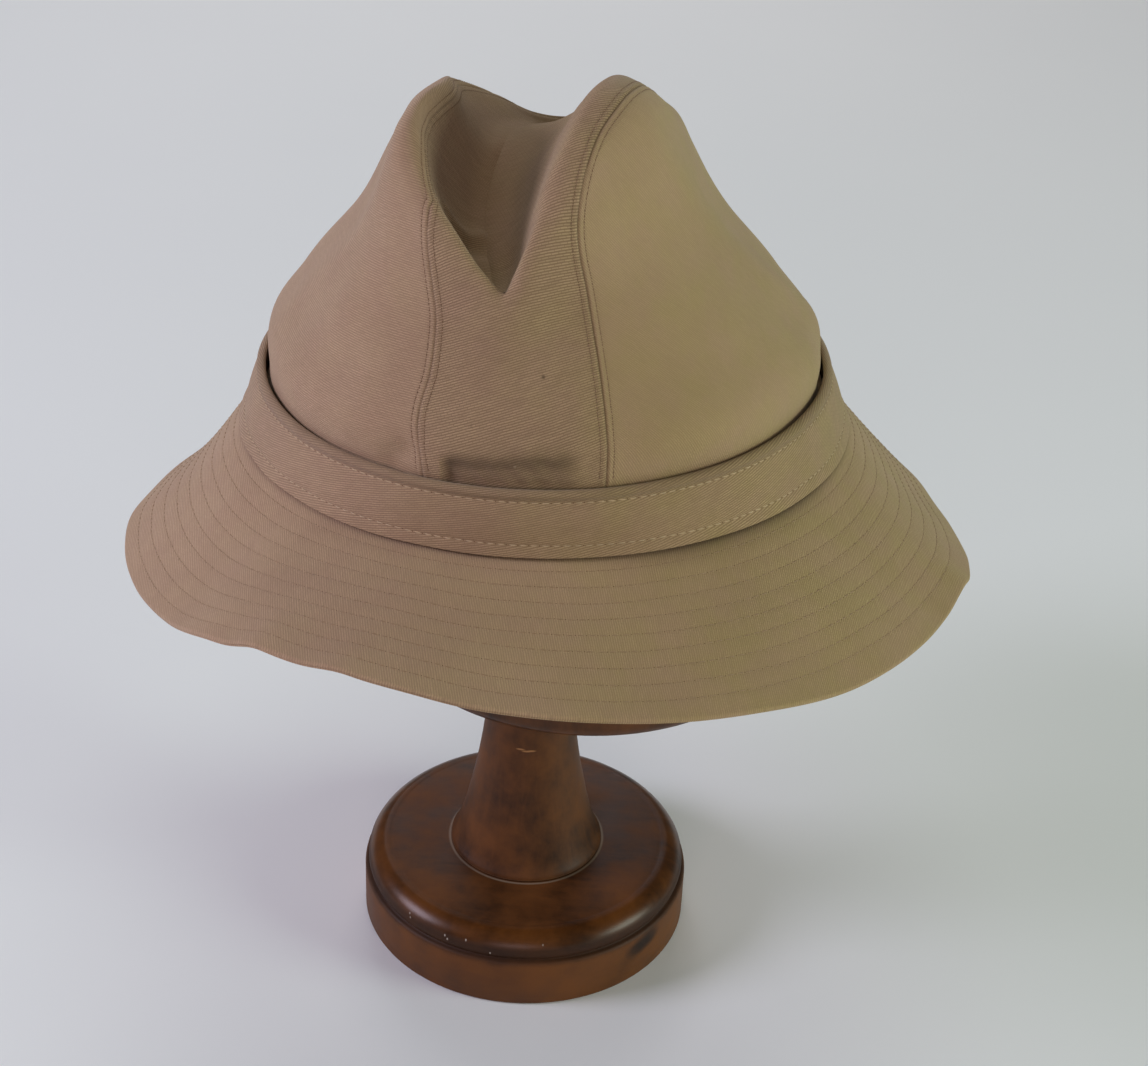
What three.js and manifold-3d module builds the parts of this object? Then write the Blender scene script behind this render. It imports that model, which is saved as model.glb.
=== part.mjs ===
// A cloth fedora on a turned wooden hat stand. Millimetres, +Z up, the hat's front faces -Y.
// The stand's foot is centred on the origin and rests on Z = 0.
import * as THREE from "three";
import { mergeVertices } from "three/addons/utils/BufferGeometryUtils.js";
import Module from "manifold-3d";

const wasm = await Module();
wasm.setup();

// Stand
const BASE_RADIUS = 56;
const BASE_DRUM_HEIGHT = 18;
const BASE_TOP = 27.4;
const BASE_SEGMENTS = 44;
const POST_SEGMENTS = 28;
const BLOCK_SEGMENTS = 28;
const BLOCK_RADIUS = 66;
const BLOCK_BOTTOM = 118;
const BLOCK_TOP = 292.85;
const BLOCK_SHIFT = { x: 16, y: 1 };
const GAP = 0.3;

// Hat: its own frame starts at the brim seam, in the middle of the head opening
const HAT_X = 2.5;
const HAT_Y = 4;
const HAT_Z = 200;
const HAT_TILT_DEGREES = -2;
const OVAL_CENTRE_X = -1.7;
const OPENING_DROP_BACK = 12;
const OPENING_DROP_RIGHT = 1.5;
const CROWN_THICKNESS = 1.6;
const BAND_THICKNESS = 2.2;
const BRIM_THICKNESS = 2.2;
const BAND_HEIGHT = 20.5;
const BAND_FOOT = 0.4;
const RIDGE_SOFTNESS = 0.5;
const SEAM_CUT = 0.65;
const CUT_OUTSIDE = 1.5;
const CUT_INSIDE = 2.7;

// Half-widths of the ovals round the head
const BAND_FOOT_OVAL = { x: 94.2, y: 99 };
const BAND_TOP_OVAL = { x: 86, y: 97.5 };
const CROWN_FOOT_OVAL = { x: 91.1, y: 96, z: 1.1 };
const CROWN_WAIST_OVAL = { x: 83.2, y: 94.6, z: 20.5 };
const BRIM_FOOT_OVAL = { x: 93.6, y: 98.5 };
const BRIM_LIP = 5;

// Turn is degrees round from the front, positive to the viewer's right.
// Ridge: the folded rim of the centre dent, as the sharp fold that the soft rim rounds off;
// hollow draws the wall below it inwards.
const RIDGE_ROWS = [
  { turn: -150, x: -11.2, y: 44.5, z: 75.0, hollow: 0.02 },
  { turn: -120, x: -23.1, y: 27.3, z: 87.4, hollow: 0.006 },
  { turn: -92, x: -30.8, y: 3.9, z: 101.2, hollow: -0.036 },
  { turn: -70, x: -27.2, y: -24.5, z: 112.0, hollow: 0.018 },
  { turn: -55, x: -29.2, y: -37.1, z: 115.0, hollow: 0.014 },
  { turn: -42, x: -31.4, y: -45.6, z: 113.5, hollow: 0 },
  { turn: -31, x: -31.9, y: -52.2, z: 109.1, hollow: 0 },
  { turn: -23, x: -29.1, y: -59.3, z: 100.6, hollow: 0 },
  { turn: -16, x: -24.9, y: -65.5, z: 93.0, hollow: 0 },
  { turn: -10, x: -18.5, y: -70.7, z: 85.3, hollow: 0 },
  { turn: -5, x: -11.5, y: -74.9, z: 77.6, hollow: 0 },
  { turn: 0, x: -4.3, y: -78.1, z: 70.4, hollow: 0 },
  { turn: 5, x: 1.4, y: -72.7, z: 83.7, hollow: 0 },
  { turn: 10, x: 6.0, y: -66.2, z: 93.5, hollow: 0 },
  { turn: 16, x: 9.2, y: -59.8, z: 103.6, hollow: 0 },
  { turn: 23, x: 12.4, y: -53.7, z: 110.3, hollow: 0 },
  { turn: 32, x: 15.6, y: -46.7, z: 114.5, hollow: 0 },
  { turn: 44, x: 19.8, y: -38.0, z: 117.3, hollow: 0 },
  { turn: 60, x: 24, y: -25.5, z: 115.8, hollow: 0.002 },
  { turn: 90, x: 26.3, y: 4.2, z: 100.8, hollow: -0.024 },
  { turn: 120, x: 23.4, y: 31.8, z: 89.0, hollow: -0.014 },
  { turn: 150, x: 12.8, y: 49.0, z: 76.0, hollow: 0.033 },
  { turn: 180, x: 0.1, y: 59.0, z: 68.8, hollow: 0.04 },
];

// Crease: the floor line of the dent, the same from both sides
const CREASE_ROWS = [
  { turn: 0, x: -4.5, y: -76.5, z: 68.2 },
  { turn: 10, x: -7, y: -69.5, z: 66 },
  { turn: 20, x: -10, y: -60, z: 65 },
  { turn: 32, x: -13, y: -47, z: 68 },
  { turn: 45, x: -15, y: -32, z: 73 },
  { turn: 75, x: -13, y: -7, z: 83 },
  { turn: 110, x: -9, y: 18, z: 80 },
  { turn: 150, x: -4, y: 42, z: 69 },
  { turn: 180, x: 0, y: 51, z: 64 },
];

// Climb -1 to 0 is behind the band, 0 to 1 goes up to the ridge, 1 to 2 down into the dent.
// Across and up are shares of the way from one level to the next. In the dent, left in makes the
// left wall steeper.
const SKIRT_ROWS = [
  { climb: -1, across: 1, up: 1 },
  { climb: -0.5, across: 0.33, up: 0.5 },
];
const WALL_ROWS = [
  { climb: 0, across: 0, up: 0 },
  { climb: 0.1, across: 0.013, up: 0.1 },
  { climb: 0.28, across: 0.21, up: 0.28 },
  { climb: 0.55, across: 0.54, up: 0.55 },
  { climb: 0.77, across: 0.725, up: 0.77 },
  { climb: 0.88, across: 0.825, up: 0.89 },
];
const VALLEY_ROWS = [
  { climb: 1, across: 0, up: 0, leftIn: 0 },
  { climb: 1.25, across: 0.26, up: 0.26, leftIn: 0.13 },
  { climb: 1.5, across: 0.5, up: 0.6, leftIn: 0.15 },
  { climb: 1.8, across: 0.78, up: 0.92, leftIn: 0.08 },
  { climb: 2, across: 1, up: 1, leftIn: 0 },
];

// Seams between the centre panel and the side panels, from the front foot over the top to the back.
// Stations is how many steps the cut takes to the next row.
const RIGHT_SEAM_ROWS = [
  { turn: 16.2, climb: -1.2, stations: 2 },
  { turn: 16.8, climb: -0.6, stations: 2 },
  { turn: 17.7, climb: -0.1, stations: 2 },
  { turn: 18.4, climb: 0.15, stations: 2 },
  { turn: 18.9, climb: 0.35, stations: 2 },
  { turn: 18.5, climb: 0.55, stations: 2 },
  { turn: 17.5, climb: 0.68, stations: 2 },
  { turn: 17.6, climb: 0.76, stations: 3 },
  { turn: 19.3, climb: 0.82, stations: 3 },
  { turn: 23, climb: 0.87, stations: 3 },
  { turn: 30, climb: 0.91, stations: 3 },
  { turn: 39, climb: 0.93, stations: 4 },
  { turn: 54, climb: 0.95, stations: 4 },
  { turn: 75, climb: 0.96, stations: 4 },
  { turn: 100, climb: 0.96, stations: 4 },
  { turn: 125, climb: 0.95, stations: 4 },
  { turn: 146, climb: 0.92, stations: 4 },
  { turn: 157, climb: 0.8, stations: 4 },
  { turn: 162, climb: 0.4, stations: 4 },
  { turn: 163, climb: 0, stations: 3 },
  { turn: 164.5, climb: -1.2, stations: 0 },
];
const LEFT_SEAM_ROWS = [
  { turn: -15, climb: -1.2, stations: 2 },
  { turn: -15.4, climb: -0.6, stations: 2 },
  { turn: -16.3, climb: -0.1, stations: 2 },
  { turn: -17.5, climb: 0.12, stations: 2 },
  { turn: -17.4, climb: 0.24, stations: 2 },
  { turn: -15.5, climb: 0.375, stations: 2 },
  { turn: -14.5, climb: 0.52, stations: 2 },
  { turn: -14.5, climb: 0.6, stations: 2 },
  { turn: -15.5, climb: 0.7, stations: 2 },
  { turn: -16.7, climb: 0.81, stations: 6 },
  { turn: -17, climb: 0.92, stations: 10 },
  { turn: -18, climb: 1.02, stations: 10 },
  { turn: -24, climb: 1.13, stations: 6 },
  { turn: -35, climb: 1.21, stations: 4 },
  { turn: -45, climb: 1.25, stations: 4 },
  { turn: -60, climb: 1.29, stations: 5 },
  { turn: -85, climb: 1.28, stations: 6 },
  { turn: -110, climb: 1.18, stations: 5 },
  { turn: -138, climb: 1.02, stations: 5 },
  { turn: -152, climb: 0.86, stations: 5 },
  { turn: -160, climb: 0.5, stations: 3 },
  { turn: -163, climb: 0, stations: 3 },
  { turn: -164.5, climb: -1.2, stations: 0 },
];

// Brim: width along the cloth and its slope below level, at the band and at the edge
const BRIM_ROWS = [
  { turn: -180, width: 50.9, start: 56, end: 39 },
  { turn: -150, width: 51, start: 62, end: 41 },
  { turn: -120, width: 51, start: 65, end: 42 },
  { turn: -95, width: 51, start: 60, end: 40 },
  { turn: -75, width: 50.8, start: 51, end: 34 },
  { turn: -60, width: 50.4, start: 44, end: 33 },
  { turn: -45, width: 49.6, start: 35, end: 26 },
  { turn: -30, width: 50.4, start: 19, end: 11 },
  { turn: -15, width: 50.8, start: 15, end: 8 },
  { turn: 0, width: 51.1, start: 23, end: 20 },
  { turn: 15, width: 51.2, start: 29, end: 28 },
  { turn: 30, width: 51.8, start: 32, end: 32 },
  { turn: 45, width: 53.5, start: 38, end: 36 },
  { turn: 60, width: 53.5, start: 41, end: 34 },
  { turn: 75, width: 52.5, start: 44, end: 31 },
  { turn: 95, width: 53.1, start: 54, end: 41 },
  { turn: 120, width: 51.5, start: 53, end: 47 },
  { turn: 150, width: 51, start: 53, end: 41 },
];

// Columns round the hat lie closer together at the front, where the dent's rim turns sharply
const COLUMN_STEPS = [
  { until: 10, step: 2.5 },
  { until: 25, step: 3.75 },
  { until: 45, step: 5 },
  { until: 60, step: 7.5 },
  { until: 180, step: 10 },
];
const CROWN_CLIMBS = [
  -1, -0.45, 0, 0.11, 0.24, 0.38, 0.53, 0.67, 0.79, 0.87, 0.935, 1,
  1.07, 1.15, 1.26, 1.42, 1.6, 1.8, 2,
];
const BRIM_STEPS = [0, 0.08, 0.25, 0.45, 0.65, 0.85, 1];

const radians = THREE.MathUtils.degToRad;

// A smooth curve through a table's rows, read by one column; closed when a period is given
function tableCurve(rows, key, period = 0) {
  const names = Object.keys(rows[0]).filter((name) => name !== key);
  const moved = (row, by) => ({ ...row, [key]: row[key] + by });
  const before = period ? rows.slice(-2).map((row) => moved(row, -period)) : [];
  const after = period ? rows.slice(0, 2).map((row) => moved(row, period)) : [];
  const list = [...before, ...rows, ...after];
  const step = (i, name) => (list[i + 1][name] - list[i][name]) / (list[i + 1][key] - list[i][key]);
  const slope = (i, name) => {
    if (i === 0) return step(0, name);
    if (i === list.length - 1) return step(i - 1, name);
    const near = list[i][key] - list[i - 1][key];
    const far = list[i + 1][key] - list[i][key];
    return (step(i - 1, name) * far + step(i, name) * near) / (near + far);
  };
  return (where) => {
    let at = where;
    if (period) at = THREE.MathUtils.euclideanModulo(at - rows[0][key], period) + rows[0][key];
    let i = 0;
    while (i < list.length - 2 && at >= list[i + 1][key]) i += 1;
    const span = list[i + 1][key] - list[i][key];
    const f = (at - list[i][key]) / span;
    const value = {};
    for (const name of names) {
      value[name] =
        (2 * f ** 3 - 3 * f ** 2 + 1) * list[i][name] +
        (f ** 3 - 2 * f ** 2 + f) * span * slope(i, name) +
        (3 * f ** 2 - 2 * f ** 3) * list[i + 1][name] +
        (f ** 3 - f ** 2) * span * slope(i + 1, name);
    }
    return value;
  };
}

const ridgeAt = tableCurve(RIDGE_ROWS, "turn", 360);
const creaseAt = tableCurve(CREASE_ROWS, "turn");
const brimAt = tableCurve(BRIM_ROWS, "turn", 360);

// A point of an oval round the head; the opening lies lower at the back and on the right
function ovalPoint(turn, oval, z) {
  const angle = radians(turn);
  const drop = (OPENING_DROP_BACK / 2) * (1 - Math.cos(angle)) + OPENING_DROP_RIGHT * Math.sin(angle);
  const x = OVAL_CENTRE_X + oval.x * Math.sin(angle);
  return new THREE.Vector3(x, -oval.y * Math.cos(angle), z - drop);
}

function wrapTurn(turn) {
  return THREE.MathUtils.euclideanModulo(turn + 180, 360) - 180;
}

// Outer face of the crown: a smooth line up each turn, from the foot over the ridge to the crease
function crownPoint(turn, climb) {
  const foot = ovalPoint(turn, CROWN_FOOT_OVAL, CROWN_FOOT_OVAL.z);
  const waist = ovalPoint(turn, CROWN_WAIST_OVAL, CROWN_WAIST_OVAL.z);
  const ridge = ridgeAt(turn);
  const crease = creaseAt(Math.abs(wrapTurn(turn)));
  const left = Math.sin(radians(THREE.MathUtils.clamp(-1.5 * wrapTurn(turn), 0, 180)));
  const between = (from, to, row, draw) => ({
    climb: row.climb,
    x: from.x + (to.x - from.x) * (row.across + draw),
    y: from.y + (to.y - from.y) * (row.across + draw),
    z: from.z + (to.z - from.z) * row.up,
  });
  const line = [
    ...SKIRT_ROWS.map((row) => between(waist, foot, row, 0)),
    ...WALL_ROWS.map((row) => {
      const draw = ridge.hollow * Math.sin(Math.PI * Math.sqrt(row.climb)) ** 2;
      return between(waist, ridge, row, draw);
    }),
    ...VALLEY_ROWS.map((row) => between(ridge, crease, row, -row.leftIn * left)),
  ];
  const top = line.findIndex((row) => row.climb === 1);
  for (const axis of ["x", "y", "z"]) {
    const beside = (line[top - 1][axis] + line[top + 1][axis]) / 2;
    line[top][axis] = THREE.MathUtils.lerp(line[top][axis], beside, RIDGE_SOFTNESS);
  }
  const { x, y, z } = tableCurve(line, "climb")(climb);
  return new THREE.Vector3(x, y, z);
}

// Upper face of the brim; step 0 at the band, 1 at the edge, the lip inside the band below 0
function brimPoint(turn, step) {
  const angle = radians(turn);
  const { x, y } = BRIM_FOOT_OVAL;
  const outward = new THREE.Vector3(Math.sin(angle) / x, -Math.cos(angle) / y, 0).normalize();
  const point = ovalPoint(turn, BRIM_FOOT_OVAL, 0);
  if (step < 0) return point.addScaledVector(outward, -BRIM_LIP);
  const row = brimAt(turn);
  const slices = 12;
  for (let k = 0; k < slices; k += 1) {
    const part = (row.width * THREE.MathUtils.clamp(step * slices - k, 0, 1)) / slices;
    const slope = radians(row.start + ((row.end - row.start) * (k + 0.5)) / slices);
    point.addScaledVector(outward, part * Math.cos(slope));
    point.z -= part * Math.sin(slope);
  }
  return point;
}

function columnTurns() {
  const half = [];
  let turn = 0;
  for (const { until, step } of COLUMN_STEPS) {
    while (turn < until - 0.01) {
      turn = Math.min(turn + step, until);
      half.push(turn);
    }
  }
  const inner = half.slice(0, -1);
  return [-180, ...inner.map((value) => -value).reverse(), 0, ...inner];
}

// Turns an open sheet of points and triangles into a closed shell by adding its inner face and edges
function thicken(points, triangles, thickness) {
  const normals = points.map(() => new THREE.Vector3());
  const edges = new Map();
  for (const [a, b, c] of triangles) {
    const face = new THREE.Vector3().subVectors(points[b], points[a]);
    face.cross(new THREE.Vector3().subVectors(points[c], points[a]));
    for (const corner of [a, b, c]) normals[corner].add(face);
    for (const [from, to] of [[a, b], [b, c], [c, a]]) edges.set(`${from} ${to}`, [from, to]);
  }
  const count = points.length;
  const inner = points.map((point, i) => point.clone().addScaledVector(normals[i].normalize(), -thickness));
  const faces = [...triangles, ...triangles.map(([a, b, c]) => [a + count, c + count, b + count])];
  for (const [from, to] of edges.values()) {
    if (edges.has(`${to} ${from}`)) continue;
    faces.push([to, from, from + count], [to, from + count, to + count]);
  }
  return { points: [...points, ...inner], triangles: faces };
}

function toManifold({ points, triangles }) {
  const mesh = new wasm.Mesh({
    numProp: 3,
    vertProperties: new Float32Array(points.flatMap((point) => point.toArray())),
    triVerts: new Uint32Array(triangles.flat()),
  });
  mesh.merge();
  return new wasm.Manifold(mesh);
}

function toGeometry(positions, index) {
  const geometry = new THREE.BufferGeometry();
  geometry.setAttribute("position", new THREE.Float32BufferAttribute(positions, 3));
  geometry.setIndex(Array.from(index));
  return geometry;
}

function shellGeometry({ points, triangles }) {
  return toGeometry(points.flatMap((point) => point.toArray()), triangles.flat());
}

// The whole crown as one sheet: columns round the hat, rows up the wall and down into the dent.
// Columns of the same turn to left and right share their last point, on the crease.
function crownSheet() {
  const turns = columnTurns();
  const points = [];
  const shared = new Map();
  const grid = turns.map((turn) =>
    CROWN_CLIMBS.map((climb) => {
      const name = climb === 2 ? Math.abs(turn) : null;
      if (name !== null && shared.has(name)) return shared.get(name);
      points.push(crownPoint(turn, climb));
      if (name !== null) shared.set(name, points.length - 1);
      return points.length - 1;
    }),
  );
  const triangles = [];
  grid.forEach((column, i) => {
    const next = grid[(i + 1) % grid.length];
    for (let k = 0; k < CROWN_CLIMBS.length - 1; k += 1) {
      const [a, b, c, d] = [column[k], next[k], next[k + 1], column[k + 1]];
      triangles.push([a, b, c]);
      if (c !== d) triangles.push([a, c, d]);
    }
  });
  return thicken(points, triangles, CROWN_THICKNESS);
}

// A thin strip that follows a seam and reaches through the cloth, for cutting the panels apart
function seamCutter(rows) {
  const numbered = rows.map((row, i) => ({ ...row, place: i }));
  const seamAt = tableCurve(numbered, "place");
  const at = (place) => {
    const { turn, climb } = seamAt(place);
    return crownPoint(turn, climb);
  };
  const last = rows.length - 1;
  const places = [];
  rows.forEach(({ stations }, i) => {
    for (let k = 0; k < stations; k += 1) places.push(i + k / stations);
  });
  places.push(last);
  const points = [];
  for (const place of places) {
    const { turn, climb } = seamAt(place);
    const round = crownPoint(turn + 0.5, climb).sub(crownPoint(turn - 0.5, climb));
    const rise = crownPoint(turn, climb + 0.01).sub(crownPoint(turn, climb - 0.01));
    const normal = round.cross(rise).normalize();
    const along = at(Math.min(place + 0.05, last)).sub(at(Math.max(place - 0.05, 0)));
    const side = normal.clone().cross(along).normalize().multiplyScalar(SEAM_CUT / 2);
    const outer = at(place).addScaledVector(normal, CUT_OUTSIDE);
    const inner = at(place).addScaledVector(normal, -CUT_INSIDE);
    points.push(outer.clone().add(side), outer.clone().sub(side));
    points.push(inner.clone().sub(side), inner.clone().add(side));
  }
  const end = points.length - 4;
  const triangles = [[0, 2, 1], [0, 3, 2], [end, end + 1, end + 2], [end, end + 2, end + 3]];
  for (let i = 0; i < end; i += 4) {
    for (let k = 0; k < 4; k += 1) {
      const a = i + k;
      const b = i + ((k + 1) % 4);
      triangles.push([a, b + 4, a + 4], [a, b, b + 4]);
    }
  }
  return toManifold({ points, triangles });
}

function crownPanels() {
  const whole = toManifold(crownSheet());
  const cut = whole.subtract(seamCutter(RIGHT_SEAM_ROWS)).subtract(seamCutter(LEFT_SEAM_ROWS));
  const middle = (piece) => {
    const box = piece.boundingBox();
    return (box.min[0] + box.max[0]) / 2;
  };
  return cut
    .decompose()
    .sort((one, other) => middle(one) - middle(other))
    .map((piece) => {
      const mesh = piece.getMesh();
      return toGeometry(Array.from(mesh.vertProperties), mesh.triVerts);
    });
}

// The band's section: up its outer face, over the folded edge and down its inner face
function bandGeometry() {
  const turns = columnTurns();
  const section = [
    { inset: 0, z: BAND_FOOT },
    { inset: 0, z: BAND_HEIGHT / 2 },
    { inset: 0.2, z: BAND_HEIGHT - 1.2 },
    { inset: BAND_THICKNESS / 2, z: BAND_HEIGHT },
    { inset: BAND_THICKNESS - 0.2, z: BAND_HEIGHT - 1.2 },
    { inset: BAND_THICKNESS, z: BAND_HEIGHT / 2 },
    { inset: BAND_THICKNESS, z: BAND_FOOT },
  ];
  const points = [];
  for (const turn of turns) {
    for (const { inset, z } of section) {
      const f = z / BAND_HEIGHT;
      const oval = {
        x: THREE.MathUtils.lerp(BAND_FOOT_OVAL.x, BAND_TOP_OVAL.x, f) - inset,
        y: THREE.MathUtils.lerp(BAND_FOOT_OVAL.y, BAND_TOP_OVAL.y, f) - inset,
      };
      points.push(ovalPoint(turn, oval, z));
    }
  }
  const triangles = [];
  turns.forEach((turn, i) => {
    const j = (i + 1) % turns.length;
    section.forEach((row, k) => {
      const m = (k + 1) % section.length;
      const [a, b, c, d] = [i, j].flatMap((n) => [n * section.length + k, n * section.length + m]);
      triangles.push([a, c, d], [a, d, b]);
    });
  });
  return shellGeometry({ points, triangles });
}

function brimGeometry() {
  const turns = columnTurns();
  const steps = [-1, ...BRIM_STEPS];
  const points = turns.flatMap((turn) => steps.map((step) => brimPoint(turn, step)));
  const triangles = [];
  turns.forEach((turn, i) => {
    const j = (i + 1) % turns.length;
    for (let k = 0; k < steps.length - 1; k += 1) {
      const a = i * steps.length + k;
      const b = j * steps.length + k;
      triangles.push([a, b + 1, b], [a, a + 1, b + 1]);
    }
  });
  return shellGeometry(thicken(points, triangles, BRIM_THICKNESS));
}

// A turned piece from its outline, given as radius and height from the foot to the top
function turned(outline, segments) {
  const profile = outline.map(({ radius, z }) => new THREE.Vector2(radius, z));
  const lathe = new THREE.LatheGeometry(profile, segments).rotateX(Math.PI / 2);
  lathe.deleteAttribute("normal");
  lathe.deleteAttribute("uv");
  return mergeVertices(lathe, 1e-4);
}

const BASE_OUTLINE = [
  { radius: 0, z: 0 },
  { radius: BASE_RADIUS - 0.8, z: 0 },
  { radius: BASE_RADIUS, z: 0.8 },
  { radius: BASE_RADIUS, z: BASE_DRUM_HEIGHT - 0.8 },
  { radius: BASE_RADIUS - 0.8, z: BASE_DRUM_HEIGHT },
  { radius: BASE_RADIUS - 1.8, z: BASE_DRUM_HEIGHT + 0.3 },
  { radius: BASE_RADIUS - 1.2, z: BASE_DRUM_HEIGHT + 2.2 },
  { radius: BASE_RADIUS - 1.7, z: BASE_DRUM_HEIGHT + 4.6 },
  { radius: BASE_RADIUS - 3.6, z: BASE_DRUM_HEIGHT + 7.0 },
  { radius: BASE_RADIUS - 6.6, z: BASE_TOP - 0.5 },
  { radius: BASE_RADIUS - 9.5, z: BASE_TOP },
  { radius: 0, z: BASE_TOP },
];
const POST_OUTLINE = [
  { radius: 0, z: BASE_TOP + GAP },
  { radius: 26, z: BASE_TOP + GAP },
  { radius: 26, z: 29 },
  { radius: 24.4, z: 31 },
  { radius: 22.6, z: 37 },
  { radius: 20.4, z: 46 },
  { radius: 18, z: 58 },
  { radius: 16, z: 71 },
  { radius: 14.6, z: 86 },
  { radius: 14, z: 102 },
  { radius: 14, z: BLOCK_BOTTOM - GAP },
  { radius: 0, z: BLOCK_BOTTOM - GAP },
];

// The block inside the hat: eased lower edge, then an egg shape up to the underside of the dent
const BLOCK_OUTLINE = [
  { radius: 0, z: BLOCK_BOTTOM },
  { radius: BLOCK_RADIUS - 4, z: BLOCK_BOTTOM },
  { radius: BLOCK_RADIUS - 1.2, z: BLOCK_BOTTOM + 1.2 },
  { radius: BLOCK_RADIUS, z: BLOCK_BOTTOM + 4 },
  { radius: 65, z: 140 },
  { radius: 61.5, z: 168 },
  { radius: 56.5, z: 195 },
  { radius: 50, z: 218 },
  { radius: 41, z: 240 },
  { radius: 29, z: 260 },
  { radius: 17, z: 275.5 },
  { radius: 8, z: BLOCK_TOP - 2 },
  { radius: 0, z: BLOCK_TOP },
];

function cloth(name, geometry) {
  const material = new THREE.MeshStandardMaterial({ color: 0xb09a78, roughness: 0.9, metalness: 0 });
  const mesh = new THREE.Mesh(geometry, material);
  mesh.name = name;
  return mesh;
}

function wood(name, geometry) {
  const material = new THREE.MeshStandardMaterial({ color: 0x4f2a17, roughness: 0.45, metalness: 0 });
  const mesh = new THREE.Mesh(geometry, material);
  mesh.name = name;
  return mesh;
}

const hat = new THREE.Group();
hat.name = "hat";
hat.position.set(HAT_X, HAT_Y, HAT_Z);
hat.rotation.y = radians(HAT_TILT_DEGREES);
const [leftPanel, centrePanel, rightPanel] = crownPanels();
hat.add(cloth("crown_left_panel", leftPanel));
hat.add(cloth("crown_centre_panel", centrePanel));
hat.add(cloth("crown_right_panel", rightPanel));
hat.add(cloth("hat_band", bandGeometry()));
hat.add(cloth("brim", brimGeometry()));

const stand = new THREE.Group();
stand.name = "stand";
stand.add(wood("stand_base", turned(BASE_OUTLINE, BASE_SEGMENTS)));
stand.add(wood("stand_post", turned(POST_OUTLINE, POST_SEGMENTS)));
const block = wood("stand_top", turned(BLOCK_OUTLINE, BLOCK_SEGMENTS));
block.position.set(BLOCK_SHIFT.x, BLOCK_SHIFT.y, 0);
stand.add(block);

const part = new THREE.Group();
part.name = "fedora_on_stand";
part.add(hat, stand);

export default part;
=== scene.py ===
# %% [markdown]
# # A cotton twill fedora on a turned wooden hat stand
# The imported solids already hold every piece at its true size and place.
# This lesson dresses them: each cloth panel is made again as a fine, softly shaped shell, sewn with
# real stitches, and the stand is turned again with smooth curves.
# Lengths in the tables are millimetres, because a hat maker measures in them; Blender gets metres.

# %% The fixed frame
import math
import bpy
import numpy as np
from mathutils import Matrix, Vector
from mathutils.bvhtree import BVHTree
from mathutils.kdtree import KDTree


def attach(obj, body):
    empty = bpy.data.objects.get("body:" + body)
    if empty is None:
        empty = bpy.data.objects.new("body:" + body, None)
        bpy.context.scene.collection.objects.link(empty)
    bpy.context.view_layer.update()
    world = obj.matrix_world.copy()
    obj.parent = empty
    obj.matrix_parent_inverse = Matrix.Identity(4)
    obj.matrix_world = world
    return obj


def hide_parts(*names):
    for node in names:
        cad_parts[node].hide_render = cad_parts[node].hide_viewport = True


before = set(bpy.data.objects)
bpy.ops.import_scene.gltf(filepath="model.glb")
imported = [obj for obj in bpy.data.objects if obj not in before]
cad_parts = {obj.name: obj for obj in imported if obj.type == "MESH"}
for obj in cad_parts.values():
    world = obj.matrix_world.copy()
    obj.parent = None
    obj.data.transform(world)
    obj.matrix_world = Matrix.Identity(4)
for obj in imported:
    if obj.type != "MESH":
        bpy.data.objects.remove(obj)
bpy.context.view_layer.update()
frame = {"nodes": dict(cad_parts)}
print("nodes in the frame:", ", ".join(frame["nodes"]))

# %% [markdown]
# ## Tables and smooth curves
# A draped shape is easier to read as a few rows, one for each section, than as a long list of points.
# A table here is a set of named columns, and a smooth curve runs through its rows.
# The curve's slope at a row is the mean of the slopes on both sides, weighted towards the nearer row,
# so it passes through every row and swings out between them as little as possible.

# %% Tables and curves
def table(columns, rows):
    """A short table, kept as one array for each named column."""
    return dict(zip(columns.split(), np.array(rows, float).T))


def spline(places, knots, where):
    """Smooth curves through knots[line, place], each read at one place of where."""
    step = np.diff(places)[None, :, None]
    rise = np.diff(knots, axis=1) / step
    slope = np.concatenate([rise[:, :1], knots[:, 1:-1], rise[:, -1:]], axis=1)
    weighted = rise[:, :-1] * step[:, 1:] + rise[:, 1:] * step[:, :-1]
    slope[:, 1:-1] = weighted / (step[:, 1:] + step[:, :-1])
    left = np.clip(np.searchsorted(places, where, side="right") - 1, 0, len(places) - 2)
    line = np.arange(len(where)) if len(knots) > 1 else np.zeros(len(where), int)
    span = (places[left + 1] - places[left])[:, None]
    f = (where - places[left])[:, None] / span
    start = (2 * f**3 - 3 * f**2 + 1) * knots[line, left]
    start += (f**3 - 2 * f**2 + f) * span * slope[line, left]
    end = (3 * f**2 - 2 * f**3) * knots[line, left + 1]
    end += (f**3 - f**2) * span * slope[line, left + 1]
    return start + end


def follow(rows, key, where, period=0.0):
    """Every other column of a table, read along its key column; closed when a period is given."""
    names = [name for name in rows if name != key]
    places = rows[key]
    values = np.stack([rows[name] for name in names], axis=1)
    where = np.asarray(where, float)
    if period:
        where = (where - places[0]) % period + places[0]
        places = np.concatenate([places[-2:] - period, places, places[:2] + period])
        values = np.concatenate([values[-2:], values, values[:2]])
    result = spline(places, values[None], where)
    return dict(zip(names, result.T))


def unit(vectors):
    """The same directions with a length of one."""
    return vectors / (np.linalg.norm(vectors, axis=-1, keepdims=True) + 1e-12)


def ease(value, low, high):
    """Goes from 0 at low to 1 at high with soft ends."""
    f = np.clip((value - low) / (high - low), 0, 1)
    return f * f * (3 - 2 * f)


def mound(far, width, height=1.0):
    """Falls softly from a height at no distance towards 0, over a width."""
    return height * np.exp(-((far / width) ** 2))


print("halfway up an ease:", ease(0.5, 0, 1), "and one width from a mound:", round(float(mound(1, 1)), 2))

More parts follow.
